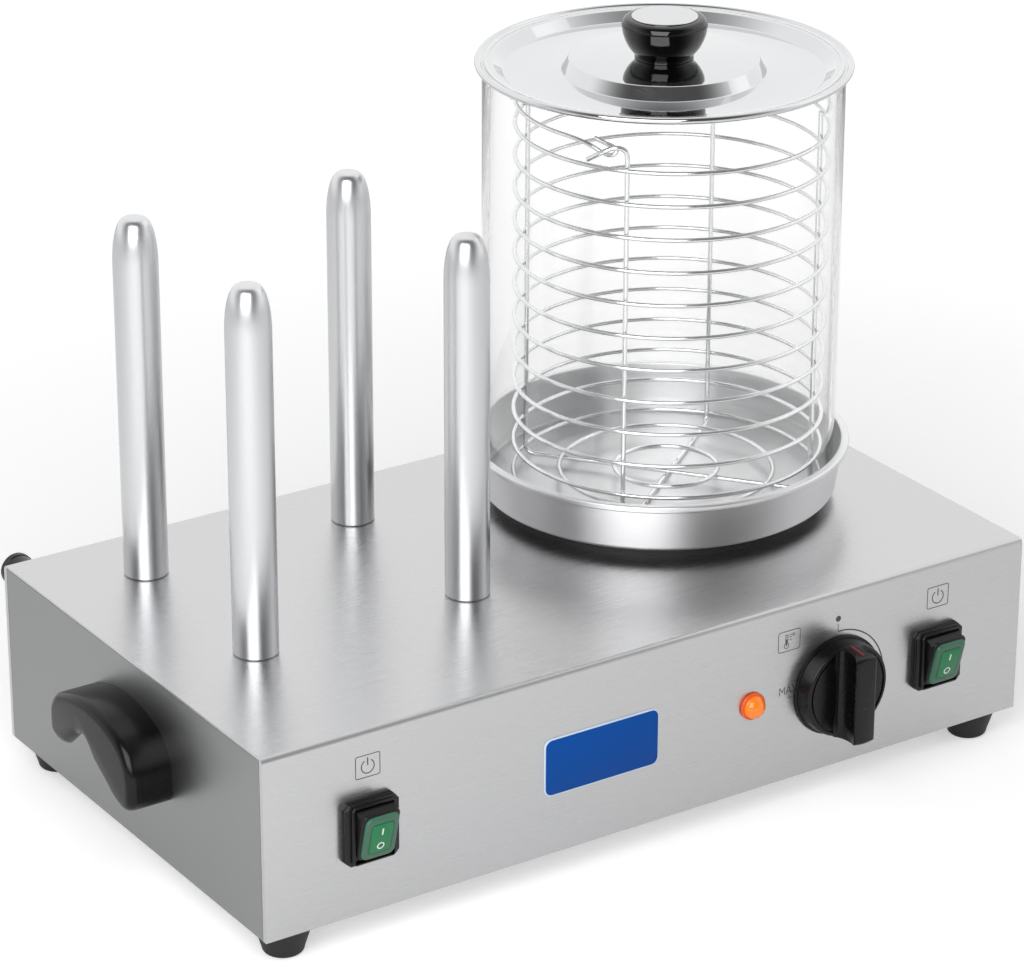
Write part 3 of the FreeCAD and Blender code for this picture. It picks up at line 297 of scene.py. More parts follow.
# Steel wire with nickel and chrome, plated after welding: bright lines with sharp dark edges
WIRE = Finish("chrome_plated_wire", "#E2E3E4", 0.12, 1.0, Grain.ROLLED, 0.01, 0.02, 0.03)
# Phenolic moulding from a polished tool: deep gloss with a trace of sink and flow
GLOSS_BLACK = Finish("black_phenolic_moulding", "#040405", 0.08, 0.0, Grain.ROLLED, 0.004, 0.05, 0.02)
# The same phenolic, worn satin by hands: a soft grey sheen on the grip
KNOB = Finish("black_phenolic_knob", "#050506", 0.27, 0.0, Grain.ROLLED, 0.003, 0.05, 0.03, specular=0.32)
# ABS moulding with a fine spark texture: black with a broad dull highlight
HANDLE = Finish("black_abs_handle", "#050506", 0.25, 0.0, Grain.MOULDED, 0.004, 0.08, 0.03, specular=0.3)
# Nylon moulding: a flatter black than the handles
SATIN_BLACK = Finish("black_nylon_moulding", "#08080A", 0.33, 0.0, Grain.MOULDED, 0.004, 0.08, 0.04, specular=0.35)
# Rubber and silicone: dull, slightly uneven black-grey
RUBBER = Finish("black_nitrile_rubber", "#191919", 0.62, 0.0, Grain.MOULDED, 0.04, 0.2, 0.08)
SILICONE = Finish("black_silicone_gasket", "#1C1C1C", 0.55, 0.0, Grain.MOULDED, 0.02, 0.1, 0.05)
# Green polycarbonate: a smooth lens in a groove whose darker green is painted shade, inside a rim whose paler
# green is a painted highlight
GREEN = Finish("green_polycarbonate_cap", "#157A49", 0.25, 0.0, Grain.ROLLED, 0.01, 0.08, 0.04, specular=0.35)
GREEN_GROOVE_PAINTED_SHADE = Finish("green_polycarbonate_groove_painted_shade", "#134F31", 0.35)
GREEN_RIM_PAINTED_HIGHLIGHT = Finish("green_polycarbonate_rim_painted_highlight", "#35654E", 0.3, 0.0, Grain.ROLLED, 0.01, 0.08, 0.04)
# Amber polycarbonate with the lamp lit behind it: glows, more in the dome than in the rim
AMBER = Finish("lit_amber_polycarbonate", "#F47A0E", 0.15, 0.0, Grain.ROLLED, 0.02, 0.15, 0.05, coat=0.5,
               glow=0.22)
AMBER_RIM = Finish("amber_polycarbonate_rim", "#D9541E", 0.3, 0.0, Grain.ROLLED, 0.02, 0.1, 0.04, glow=0.15)
# Aluminium plate, screen printed in matt blue inside a bare anodised border
BLUE = Finish("blue_screen_printed_plate", "#05499A", 0.45, 0.0, Grain.MOULDED, 0.005, 0.06, 0.05, specular=0.12)
PALE_BORDER = Finish("anodised_plate_border", "#C9D6E4", 0.35, 0.0, Grain.MOULDED, 0.01, 0.04, 0.05)
# Pad-printed inks: flat colour with no shine
INK = Finish("grey_pad_printed_ink", "#4A4A4B", 0.5, 0.0, Grain.MOULDED, 0.005, 0.1, 0.05)
WHITE_INK = Finish("white_pad_printed_ink", "#E8EEE9", 0.5, 0.0, Grain.MOULDED, 0.005, 0.05, 0.05)
# Red paint in the knob's slot: bright red on the raised line, and beside it a dark red that is painted shade in
# the slot
RED_INK = Finish("red_filled_line", "#A80F20", 0.4, 0.0, Grain.MOULDED, 0.005, 0.15, 0.05)
RED_SLOT_PAINTED_SHADE = Finish("red_slot_painted_shade", "#2E0508", 0.4)
# Zinc-plated screws and shafts: uneven satin metal
ZINC = Finish("zinc_plated_steel", "#B9BCC0", 0.33, 1.0, Grain.ROLLED, 0.01, 0.08, 0.08)
# Inner pieces: scaled steel, chalky ceramic and stamped brass
HEATER = Finish("scaled_heater_steel", "#8A8682", 0.5, 1.0, Grain.ROLLED, 0.02, 0.15, 0.1)
CERAMIC = Finish("unglazed_steatite", "#E4DFD3", 0.7, 0.0, Grain.MOULDED, 0.04, 0.05, 0.05)
BRASS = Finish("stamped_brass", "#C8A45A", 0.32, 1.0, Grain.ROLLED, 0.01, 0.08, 0.06)
# Clear glass tube
GLASS = ClearGlass()

CAD_FINISHES: dict[Finish, tuple[str, ...]] = {
    SHEET: ("top_cover", "base_plate", "heater_clamp"),
    # The side panels take the darker copy of the sheet: painted shade.
    SHEET_SIDE_PAINTED_SHADE: ("side_panel_left", "side_panel_right"),
    RUBBER: ("foot_front_left", "foot_front_right", "foot_rear_left", "foot_rear_right"),
    ZINC: ("foot_screws", "base_screws", "rear_screws", "handle_screws", "spike_nuts", "heater_nut",
           "lid_screw", "thermostat_shaft"),
    SATIN_BLACK: ("switch_rocker_left", "switch_rocker_right", "cable_gland", "gland_nut",
                  "thermostat_body", "pilot_lamp_body"),
    SILICONE: ("spacer_ring",),
    HEATER: ("spike_heater_front_left", "spike_heater_front_right", "spike_heater_rear_left",
             "spike_heater_rear_right", "hotplate", "overheat_cutout"),
    CERAMIC: ("terminal_block",),
    BRASS: ("switch_terminals_left", "switch_terminals_right"),
}


def deselect() -> None:
    """Leave object mode with nothing selected."""
    if bpy.context.object and bpy.context.object.mode != "OBJECT":
        bpy.ops.object.mode_set(mode="OBJECT")
    bpy.ops.object.select_all(action="DESELECT")


def make_active(piece: bpy.types.Object) -> None:
    """Select one piece alone and make it the active one."""
    deselect()
    piece.select_set(True)
    bpy.context.view_layer.objects.active = piece


def draw_line(points: Sequence[Vector], closed: bool = False) -> bpy.types.Object:
    """Draw a line by pulling one point along, and stay in edit mode.

    Args:
        points: The line's corners in metres.
        closed: Whether the last corner is joined to the first.

    Returns:
        The new object, in edit mode with all of the line selected.
    """
    deselect()
    bpy.ops.mesh.primitive_plane_add(size=MM, location=points[0])
    piece = bpy.context.object
    bpy.ops.object.transform_apply(location=True, rotation=False, scale=False)
    bpy.ops.object.mode_set(mode="EDIT")
    bpy.ops.mesh.select_all(action="SELECT")
    bpy.ops.mesh.merge(type="CENTER")
    route = list(points) + ([points[0]] if closed else [])
    for before, after in zip(route, route[1:]):
        bpy.ops.mesh.extrude_vertices_move(TRANSFORM_OT_translate={"value": after - before})
    bpy.ops.mesh.select_all(action="SELECT")
    bpy.ops.mesh.remove_doubles(threshold=MM * 0.001)
    return piece


def turned(profile: Sequence[Pair], seat: "Face", steps: int = 128) -> bpy.types.Object:
    """Turn a profile about the line that stands out of a seat.

    Args:
        profile: (radius, height) corners, either closed or ending on the axis.
        seat: Where the axis stands and which way is out.
        steps: Faces round the axis.

    Returns:
        The turned piece, in object mode.
    """
    points = [seat.at(r, 0.0, w) for r, w in profile]
    piece = draw_line(points, closed=profile[0][0] > 0 or profile[-1][0] > 0)
    bpy.ops.mesh.spin(steps=steps, angle=math.tau, center=seat.at(0.0, 0.0), axis=seat.out)
    bpy.ops.mesh.select_all(action="SELECT")
    bpy.ops.mesh.remove_doubles(threshold=MM * 0.002)
    bpy.ops.mesh.normals_make_consistent(inside=False)
    deselect()
    return piece


def arc(centre: Pair, radius: float, start: float, end: float, steps: int = 6) -> list[Pair]:
    """Points of an arc, from a start angle to an end angle in degrees."""
    angles = [math.radians(start + (end - start) * i / steps) for i in range(steps + 1)]
    return [(centre[0] + radius * math.cos(a), centre[1] + radius * math.sin(a)) for a in angles]


def rounded_box(x_half: float, y_half: float, radius: float, steps: int = 6) -> list[Pair]:
    """Outline of a rectangle with round corners about the origin."""
    outline: list[Pair] = []
    for quarter, (x, y) in enumerate(((x_half, -y_half), (x_half, y_half), (-x_half, y_half), (-x_half, -y_half))):
        start = 90.0 * (quarter - 1)
        middle = (x - math.copysign(radius, x), y - math.copysign(radius, y))
        outline += arc(middle, radius, start, start + 90.0, steps)
    return outline


def through(start: Pair, middle: Pair, end: Pair, steps: int = 8) -> list[Pair]:
    """Points of the arc through three points, without the last one."""
    (ax, ay), (bx, by), (cx, cy) = start, middle, end
    turn = 2 * (ax * (by - cy) + bx * (cy - ay) + cx * (ay - by))
    a2, b2, c2 = ax * ax + ay * ay, bx * bx + by * by, cx * cx + cy * cy
    ux = (a2 * (by - cy) + b2 * (cy - ay) + c2 * (ay - by)) / turn
    uy = (a2 * (cx - bx) + b2 * (ax - cx) + c2 * (bx - ax)) / turn
    radius = math.hypot(ax - ux, ay - uy)
    angles = [math.atan2(y - uy, x - ux) for x, y in (start, middle, end)]
    sweep = (angles[2] - angles[0]) % math.tau
    if (angles[1] - angles[0]) % math.tau > sweep:
        sweep -= math.tau
    return [(ux + radius * math.cos(angles[0] + sweep * i / steps),
             uy + radius * math.sin(angles[0] + sweep * i / steps)) for i in range(steps)]


@dataclass(frozen=True)
class Face:
    """A side of the housing that pieces are laid out on: u across, v up and w outwards."""

    origin: Triple
    across: Triple
    up: Triple
    out: Triple

    def at(self, u: float, v: float, w: float = 0.0) -> Vector:
        """Point in metres of a place on this side."""
        spot = Vector(self.origin) + Vector(self.across) * u + Vector(self.up) * v + Vector(self.out) * w
        return spot * MM

    def step(self, w: float) -> Vector:
        """Move in metres outwards by a distance."""
        return Vector(self.out) * w * MM


def on_top(spot: Pair, level: float) -> Face:
    """Seat with its axis straight up."""
    return Face((*spot, level), (1.0, 0.0, 0.0), (0.0, 1.0, 0.0), (0.0, 0.0, 1.0))


def on_front(u: float, v: float) -> Face:
    """Seat on the control front, with its axis pointing at the user."""
    return Face((u, FRONT, FLOOR + v), (1.0, 0.0, 0.0), (0.0, 0.0, 1.0), (0.0, -1.0, 0.0))


FRONT_FACE = Face((0.0, FRONT, FLOOR), (1.0, 0.0, 0.0), (0.0, 0.0, 1.0), (0.0, -1.0, 0.0))
LEFT_FACE = Face((-HALF_WIDTH, MIDDLE, FLOOR), (0.0, -1.0, 0.0), (0.0, 0.0, 1.0), (-1.0, 0.0, 0.0))
RIGHT_FACE = Face((HALF_WIDTH, MIDDLE, FLOOR), (0.0, 1.0, 0.0), (0.0, 0.0, 1.0), (1.0, 0.0, 0.0))


def slab(face: Face, outline: Sequence[Pair], low: float, high: float, rounding: float = 0.0,
         steps: int = 5) -> bpy.types.Object:
    """Raise an outline into a slab whose outer edge is rounded.

    Args:
        face: The side of the housing it is laid out on.
        outline: Its (u, v) corners.
        low: Where its back is.
        high: Where its outer face is.
        rounding: Radius of the outer edge.
        steps: Facets of the rounding.

    Returns:
        The slab, in object mode.
    """
    piece = draw_line([face.at(u, v, low) for u, v in outline], closed=True)
    bpy.ops.mesh.edge_face_add()
    bpy.ops.mesh.extrude_region_move(TRANSFORM_OT_translate={"value": face.step(high - rounding - low)})
    for i in range(steps if rounding else 0):
        now, then = (math.radians(90 * k / steps) for k in (i, i + 1))
        bpy.ops.mesh.inset(thickness=rounding * (math.cos(now) - math.cos(then)) * MM, depth=0.0)
        bpy.ops.transform.translate(value=face.step(rounding * (math.sin(then) - math.sin(now))))
    bpy.ops.mesh.select_all(action="SELECT")
    bpy.ops.mesh.normals_make_consistent(inside=False)
    deselect()
    return piece


def wire(points: Sequence[Vector], radius: float, closed: bool = False, sides: int = 3) -> bpy.types.Object:
    """Bend a round wire through a smooth line.

    Args:
        points: Corners that the wire bends round, in metres.
        radius: The wire's radius in millimetres.
        closed: Whether the wire is a closed ring.
        sides: Detail of the wire's section.

    Returns:
        The wire as a mesh.
    """
    line = bpy.data.curves.new("wire", "CURVE")
    line.dimensions = "3D"
    line.bevel_depth = radius * MM
    line.bevel_resolution = sides
    line.resolution_u = 6
    line.use_fill_caps = True
    spline = line.splines.new("NURBS")
    spline.points.add(len(points) - 1)
    for spot, place in zip(spline.points, points):
        spot.co = (*place, 1.0)
    spline.order_u = 3
    spline.use_endpoint_u = not closed
    spline.use_cyclic_u = closed
    piece = bpy.data.objects.new("wire", line)
    bpy.context.scene.collection.objects.link(piece)
    make_active(piece)
    bpy.ops.object.convert(target="MESH")
    return bpy.context.object


def join(pieces: Sequence[bpy.types.Object]) -> bpy.types.Object:
    """Join pieces into the first of them."""
    make_active(pieces[0])
    for piece in pieces:
        piece.select_set(True)
    bpy.ops.object.join()
    return bpy.context.object


def round_edges(piece: bpy.types.Object, width: float, segments: int = 3, angle: float = 35.0) -> None:
    """Round a piece's sharp edges.

    Args:
        piece: The piece to round.
        width: Width of the rounding in millimetres.
        segments: Facets of the rounding.
        angle: Edges sharper than this, in degrees, are rounded.
    """
    make_active(piece)
    bevel = piece.modifiers.new("rounding", "BEVEL")
    bevel.width = width * MM
    bevel.segments = segments
    bevel.limit_method = "ANGLE"
    bevel.angle_limit = math.radians(angle)
    bevel.use_clamp_overlap = True
    bpy.ops.object.modifier_apply(modifier=bevel.name)


def carve(piece: bpy.types.Object, tool: bpy.types.Object, operation: str = "DIFFERENCE") -> None:
    """Cut a piece with a tool, which is used up.

    Args:
        piece: The piece that is cut.
        tool: The shape that is taken away, or kept.
        operation: DIFFERENCE, INTERSECT or UNION.
    """
    make_active(piece)
    cut = piece.modifiers.new("cut", "BOOLEAN")
    cut.operation = operation
    cut.solver = "EXACT"
    cut.object = tool
    bpy.ops.object.modifier_apply(modifier=cut.name)
    bpy.data.objects.remove(tool)


@dataclass
class Studio:
    """Camera, lamps, floor and background."""

    position: Triple = (-1.19236, -1.7873, 1.10639)
    turn: float = -33.548
    dip: float = 23.556
    roll: float = 0.147
    lens: float = 147.6
    floor_code: str = "#E6E6E6"
    floor_near: Pair = (0.4, 0.42)
    floor_far: Pair = (1.6, 0.9)
    floor_mirrored: float = 0.19
    dark_side: Triple = (-0.45, -0.66, 0.6)
    dark_span: Pair = (0.1, 0.85)
    dark_level: float = 0.1
    room_level: float = 1.2
    ambient: float = 0.4
    lamp_target: Triple = (0.0, 0.0, 0.12)
    lamps: tuple[tuple[str, Triple, float, float], ...] = (
        ("key", (-0.84, -0.8, 0.84), 1.1, 15.5),
        ("fill", (1.9, -0.5, 1.8), 1.6, 1.8),
    )

    def build(self) -> None:
        """Set up the studio."""
        self.place_camera()
        self.lay_floor()
        self.light_world()
        self.hang_lamps()

    def place_camera(self) -> None:
        """Put the camera at the photograph's place and angle."""
        camera = bpy.data.objects.new("camera", bpy.data.cameras.new("camera"))
        camera.data.lens = self.lens
        camera.data.sensor_width = 36.0
        camera.data.clip_start = 0.05
        camera.matrix_world = (
            Matrix.Translation(self.position)
            @ Matrix.Rotation(math.radians(self.turn), 4, "Z")
            @ Matrix.Rotation(math.radians(90 - self.dip), 4, "X")
            @ Matrix.Rotation(math.radians(self.roll), 4, "Z")
        )
        bpy.context.scene.collection.objects.link(camera)
        bpy.context.scene.camera = camera

    def lay_floor(self) -> None:
        """Lay a wide pale floor that fades into the white background."""
        deselect()
        bpy.ops.mesh.primitive_plane_add(size=12.0, location=(0.0, 0.0, 0.0))
        floor = bpy.context.object
        floor.name = "studio_floor"
        material = bpy.data.materials.new("studio_paper")
        material.use_nodes = True
        tree = material.node_tree
        shader = tree.nodes["Principled BSDF"]
        shader.inputs["Base Color"].default_value = colour(self.floor_code)
        shader.inputs["Roughness"].default_value = 0.9
        shader.inputs["Specular IOR Level"].default_value = 0.1
        direct, bounced = split_rays(tree)
        place = add_node(tree, "ShaderNodeTexCoord")
        away = add_node(tree, "ShaderNodeVectorMath", None, {0: place.outputs["Object"]}, operation="LENGTH")
        white = add_node(tree, "ShaderNodeMapRange", {
            "From Min": self.floor_near[0], "From Max": self.floor_far[0],
            "To Min": self.floor_near[1], "To Max": self.floor_far[1],
        }, {"Value": away.outputs["Value"]})
        shown = combine(tree, "MULTIPLY", direct, white.outputs["Result"])
        mirrored = combine(tree, "MULTIPLY", bounced, self.floor_mirrored)
        shader.inputs["Emission Color"].default_value = WHITE
        tree.links.new(combine(tree, "MAXIMUM", shown, mirrored), shader.inputs["Emission Strength"])
        floor.data.materials.append(material)

    def light_world(self) -> None:
        """White background, a darker room behind the camera for reflections, and softer light all round."""
        world = bpy.context.scene.world or bpy.data.worlds.new("studio")
        bpy.context.scene.world = world
        world.use_nodes = True
        tree = world.node_tree
        tree.nodes.clear()
        direct, bounced = split_rays(tree)
        place = add_node(tree, "ShaderNodeTexCoord")
        behind = Vector(self.dark_side).normalized()
        facing = add_node(tree, "ShaderNodeVectorMath", {1: behind}, {0: place.outputs["Generated"]},
                          operation="DOT_PRODUCT")
        room = add_node(tree, "ShaderNodeMapRange", {
            "From Min": self.dark_span[0], "From Max": self.dark_span[1],
            "To Min": self.room_level, "To Max": self.dark_level,
        }, {"Value": facing.outputs["Value"]}, interpolation_type="SMOOTHSTEP")
        ambient = add_node(tree, "ShaderNodeBackground", {"Color": WHITE, "Strength": self.ambient})
        mirrored = add_node(tree, "ShaderNodeBackground", {"Color": WHITE}, {"Strength": room.outputs["Result"]})
        backdrop = add_node(tree, "ShaderNodeBackground", {"Color": WHITE, "Strength": 1.0})
        lit = add_node(tree, "ShaderNodeMixShader", None, {
            0: bounced, 1: ambient.outputs["Background"], 2: mirrored.outputs["Background"]})
        mix = add_node(tree, "ShaderNodeMixShader", None, {
            0: direct, 1: lit.outputs["Shader"], 2: backdrop.outputs["Background"]})
        add_node(tree, "ShaderNodeOutputWorld", None, {"Surface": mix.outputs["Shader"]})

    def hang_lamps(self) -> None:
        """Hang a large soft key lamp on the left of the front and a weaker one on the right."""
        for name, place, size, power in self.lamps:
            light = bpy.data.lights.new(name, "AREA")
            light.size = size
            light.energy = power
            lamp = bpy.data.objects.new(name, light)
            lamp.location = place
            lamp.visible_camera = False
            aim = Vector(self.lamp_target) - Vector(place)
            lamp.rotation_euler = aim.to_track_quat("-Z", "Y").to_euler()
            bpy.context.scene.collection.objects.link(lamp)


@dataclass
class Assembly:
    """What every sub-assembly shares: how a finished piece is named, dressed and mounted."""

    body: str = "housing"
    pieces: list[str] = field(default_factory=list)

    def mount(self, piece: bpy.types.Object, name: str, finish: Finish | ClearGlass, slot: str = "",
              replaces: Sequence[str] = (), smooth: float = 40.0) -> bpy.types.Object:
        """Name and dress a piece, and let it move with this assembly's body.

        Args:
            piece: The modelled piece.
            name: Its name in the scene.
            finish: What it is made of.
            slot: The record's material slot; not used.
            replaces: The frame's nodes that it stands for.
            smooth: Edges flatter than this, in degrees, are shaded smooth.

        Returns:
            The finished piece.
        """
        make_active(piece)
        bpy.ops.object.transform_apply(location=True, rotation=True, scale=True)
        bpy.ops.object.shade_smooth_by_angle(angle=math.radians(smooth))
        piece.name = name
        piece.data.name = name
        piece.data.materials.clear()
        piece.data.materials.append(material_of(finish))
        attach(piece, self.body)
        if replaces:
            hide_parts(*replaces)
        self.pieces.append(name)
        return piece


MATERIALS: dict[str, bpy.types.Material] = {}


def material_of(finish: Finish | ClearGlass) -> bpy.types.Material:
    """The material of a finish, made the first time that it is asked for."""
    if finish.name not in MATERIALS:
        MATERIALS[finish.name] = finish.build()
    return MATERIALS[finish.name]


@dataclass
class Spikes(Assembly):
    """Four heating spikes, turned from tube with a closed rounded tip."""

    radius: float = 12.5
    length: float = 210.0
    tip: float = 26.0
    tip_radius: float = 4.0
    seats: dict[str, Pair] = field(default_factory=lambda: {
        "front_left": (-188.1, -25.3), "front_right": (-53.3, -25.3),
        "rear_left": (-188.1, 95.6), "rear_right": (-53.3, 95.6),
    })

    def build(self) -> None:
        """Turn the spikes."""
        shoulder = self.length - self.tip
        for name, seat in self.seats.items():
            nose = [(self.tip_radius + (self.radius - self.tip_radius) * math.cos(math.radians(a)) ** 0.8,
                     shoulder + self.tip * math.sin(math.radians(a))) for a in range(0, 90, 6)]
            profile = [(0.0, 0.1), (self.radius - 0.6, 0.1), (self.radius, 0.7)] + nose
            profile += [(self.tip_radius, self.length - 0.05), (self.tip_radius - 1.0, self.length),
                        (0.0, self.length)]
            piece = turned(profile, on_top(seat, TOP), 64)
            self.mount(piece, "spike_tube_" + name, SPIKE, "spike_aluminium", ["spike_" + name])


@dataclass
class Basin(Assembly):
    """Spun basin that the glass stands in, with a rolled rim."""

    base_radius: float = 103.8
    wall_radius: float = 107.4
    rim_radius: float = 110.8
    rim_height: float = 36.3
    floor_level: float = 6.0
    sheet: float = 1.0

    def build(self) -> None:
        """Turn the basin."""
        rim, wall = self.rim_height, self.wall_radius
        profile = [(0.0, self.floor_level)]
        profile += arc((self.base_radius - 3.0, self.floor_level + 3.0), 3.0, -90, -8, 6)
        profile += [(wall - 0.4, rim - 4.6), (wall - 0.7, rim - 4.1), (wall + 1.4, rim - 3.9)]
        profile += arc((self.rim_radius - 0.9, rim - 2.9), 0.9, -70, 0, 4)
        profile += arc((self.rim_radius - 1.0, rim - 1.0), 1.0, 0, 90, 4)
        profile += arc((wall - 0.4, rim - 1.0), 1.0, 90, 180, 4)
        profile += [(wall - self.sheet - 0.6, rim - 5.0)]
        profile += arc((self.base_radius - 3.0, self.floor_level + 3.0), 2.0, -8, -90, 6)
        profile += [(0.0, self.floor_level + self.sheet)]
        piece = turned(profile, on_top(STEAMER, TOP), 160)
        self.mount(piece, "basin_shell", BASIN, "basin_aluminium", ["basin"], 35.0)


@dataclass
class GlassCylinder(Assembly):
    """Glass tube with fire-polished edges."""

    body: str = "glass"
    radius: float = 102.0
    wall: float = 4.0
    low: float = 7.2
    high: float = 261.0
    edge: float = 1.6

    def build(self) -> None:
        """Turn the tube."""
        inner = self.radius - self.wall
        e = self.edge
        profile = arc((self.radius - e, self.low + e), e, -90, 0, 4)
        profile += arc((self.radius - e, self.high - e), e, 0, 90, 4)
        profile += arc((inner + e, self.high - e), e, 90, 180, 4)
        profile += arc((inner + e, self.low + e), e, 180, 270, 4)
        piece = turned(profile, on_top(STEAMER, TOP), 160)
        self.mount(piece, "glass_tube", GLASS, "clear_glass", ["glass_cylinder"])


@dataclass
class Basket(Assembly):
    """Welded wire basket: closed rings, two bent uprights, a rim and two floor rings.

    A bend is a turn in degrees, a distance outwards and a rise, each from the wire's plain end.
    """

    body: str = "basket"
    ring_radius: float = 88.6
    wire_radius: float = 1.25
    upright_radius: float = 1.4
    first: float = 13.4
    pitch: float = 19.2
    count: int = 12
    rim_level: float = 238.5
    turns: tuple[float, float] = (38.0, 128.0)
    floor_rings: Pair = (62.0, 30.0)
    floor_bend: float = 12.0
    clearance: float = 0.12
    foot: float = 7.2
    rim_start: float = -142.0
    rim_sweep: float = -270.0
    eye: tuple[Triple, ...] = (
        (-13.2, -2.9, 1.4), (-9.0, -2.9, -0.7), (-5.6, -2.7, -1.6), (-3.6, -1.2, -3.2), (-4.2, -0.1, -5.2),
        (-6.6, 0.0, -6.2), (-9.6, 0.0, -4.8), (-13.8, 0.0, -2.0), (-20.0, 0.0, -0.3),
    )
    hooks: dict[int, tuple[Triple, ...]] = field(default_factory=lambda: {
        218: ((0.0, 0.0, -7.5), (-0.5, 0.0, -3.0), (-4.0, 2.6, -1.0), (-7.6, 5.4, -3.4),
              (-11.5, 5.4, -7.4), (-14.0, 5.4, -9.6)),
        128: ((0.0, 0.0, 2.0), (0.0, 8.5, 1.0), (0.0, 9.5, -4.0), (0.0, 9.5, -12.0)),
    })
    plain_end: tuple[Triple, ...] = ((0.0, 0.0, -2.0), (0.0, 0.0, 1.0))

    def at(self, angle: float, reach: float, level: float) -> Vector:
        """Point in metres at an angle, distance and height from the basket's foot."""
        a = math.radians(angle)
        return Vector((BASKET[0] + reach * math.cos(a), BASKET[1] + reach * math.sin(a), TOP + level)) * MM

    def ring(self, radius: float, level: float, thickness: float) -> bpy.types.Object:
        """Closed ring of wire."""
        deselect()
        bpy.ops.mesh.primitive_torus_add(
            major_radius=radius * MM, minor_radius=thickness * MM, major_segments=144, minor_segments=12,
            location=Vector((BASKET[0], BASKET[1], TOP + level)) * MM)
        ring = bpy.context.object
        bpy.ops.object.transform_apply(location=True, rotation=False, scale=False)
        return ring

    def build(self) -> None:
        """Bend and weld the basket."""
        rings = [self.ring(self.ring_radius, self.first + self.pitch * i, self.wire_radius)
                 for i in range(self.count)]
        rings.append(self.bend_rim())
        self.mount(join(rings), "basket_ring_wires", WIRE, "chrome_wire", ["basket_rings"], 60.0)
        for number, turn in enumerate(self.turns):
            self.mount(self.bend_upright(number, turn), "basket_upright_%d" % (number + 1), WIRE,
                       "chrome_wire", ["basket_wire_%d" % (number + 1)], 60.0)
        level = self.foot + (self.upright_radius * 2 + self.clearance) * 2 + self.upright_radius
        floor = [self.ring(radius, level, self.upright_radius) for radius in self.floor_rings]
        self.mount(join(floor), "basket_floor_rings", WIRE, "chrome_wire", ["basket_floor"], 60.0)

    def bend_rim(self) -> bpy.types.Object:
        """Rim that starts in an eye by the front upright and runs round the rear to the right one."""
        corners = 60
        points = [self.at(self.rim_start + turn, self.ring_radius + out, self.rim_level + rise)
                  for turn, out, rise in self.eye]
        for i in range(6, corners):
            points.append(self.at(self.rim_start + self.rim_sweep * i / corners, self.ring_radius, self.rim_level))
        points.append(self.at(self.rim_start + self.rim_sweep, self.ring_radius, self.rim_level - 0.5))
        return wire(points, self.wire_radius)

    def upright_reach(self) -> float:
        """Distance of the uprights from the axis, just inside the rings."""
        return self.ring_radius - self.wire_radius - self.upright_radius - self.clearance

    def bend_upright(self, number: int, turn: float) -> bpy.types.Object:
        """One wire down a side, across the floor and up the other side, with hooked ends."""
        reach = self.upright_reach()
        floor = self.foot + self.upright_radius + (self.upright_radius * 2 + self.clearance) * number
        side = [(reach, self.rim_level - 8.0), (reach, 120.0), (reach, floor + self.floor_bend), (reach, floor),
                (reach - self.floor_bend, floor)]
        down = [self.at(turn, *place) for place in side]
        up = [self.at(turn + 180.0, *place) for place in side[::-1]]
        return wire(self.hook(turn)[::-1] + down + up + self.hook(turn + 180.0), self.upright_radius)

    def hook(self, angle: float) -> list[Vector]:
        """End of an upright, bent over the rim where it has a hook."""
        bends = self.hooks.get(round(angle % 360), self.plain_end)
        return [self.at(angle + turn, self.upright_reach() + out, self.rim_level + rise)
                for turn, out, rise in bends]


@dataclass
class Lid(Assembly):
    """Pressed mirror-finished lid with its black knob."""

    body: str = "lid"
    level: float = 262.0
    radius: float = 106.3
    sheet: float = 0.8
    annulus: float = 96.2
    disc: float = 90.0
    depth: float = 6.8
    plateau: float = 57.4
    plateau_top: float = 53.4
    rise: float = 7.5
    bead: float = 1.9
    bead_foot: float = 3.9
    bead_height: float = 1.3

    def build(self) -> None:
        """Press the lid and turn the knob."""
        low = self.level - self.depth
        high = low + self.rise
        annulus = self.level - self.bead_height
        outer = [
            (0.0, high), (self.plateau_top, high), (self.plateau, low), (self.disc, low),
            (self.annulus, annulus), (self.radius - self.bead_foot, annulus),
        ]
        bead = arc((self.radius - self.bead, self.level - self.bead), self.bead, 140, -150, 16)
        inner = [
            (self.annulus + 0.3, annulus - self.sheet), (self.disc + 0.3, low - self.sheet),
            (self.plateau - 0.6, low - self.sheet), (self.plateau_top - 0.6, high - self.sheet),
            (0.0, high - self.sheet),
        ]
        piece = turned(outer + bead + inner, on_top(STEAMER, TOP), 240)
        round_edges(piece, 0.9, 4, 20.0)
        self.mount(piece, "lid_pressing", MIRROR, "mirror_steel", ["lid"], 50.0)
        seat = on_top(STEAMER, TOP + high)
        self.mount(turned(self.knob_profile(), seat, 96), "lid_grip", GLOSS_BLACK, "black_plastic",
                   ["lid_knob"], 35.0)
        insert = [(0.0, 23.2), (18.5, 23.2), (18.6, 23.9), (18.3, 24.15), (0.0, 24.2)]
        self.mount(turned(insert, seat, 96), "lid_grip_insert", INSERT, "mirror_steel", (), 30.0)

    def knob_profile(self) -> list[Pair]:
        """Waisted foot, flared bowl and shallow domed cap."""
        profile = [(0.0, 0.05), (16.2, 0.05), (16.6, 0.4), (16.6, 1.0), (16.1, 1.5),
                   (16.3, 2.2), (18.3, 4.0), (20.6, 7.2), (22.4, 11.0), (23.6, 14.8)]
        profile += [(24.2, 18.9), (23.9, 19.3), (23.9, 19.7)]
        profile += arc((20.4, 20.0), 3.3, 8, 82, 6)
        profile += [(19.6, 23.5), (18.9, 23.5), (18.7, 23.2), (0.0, 23.2)]
        return profile


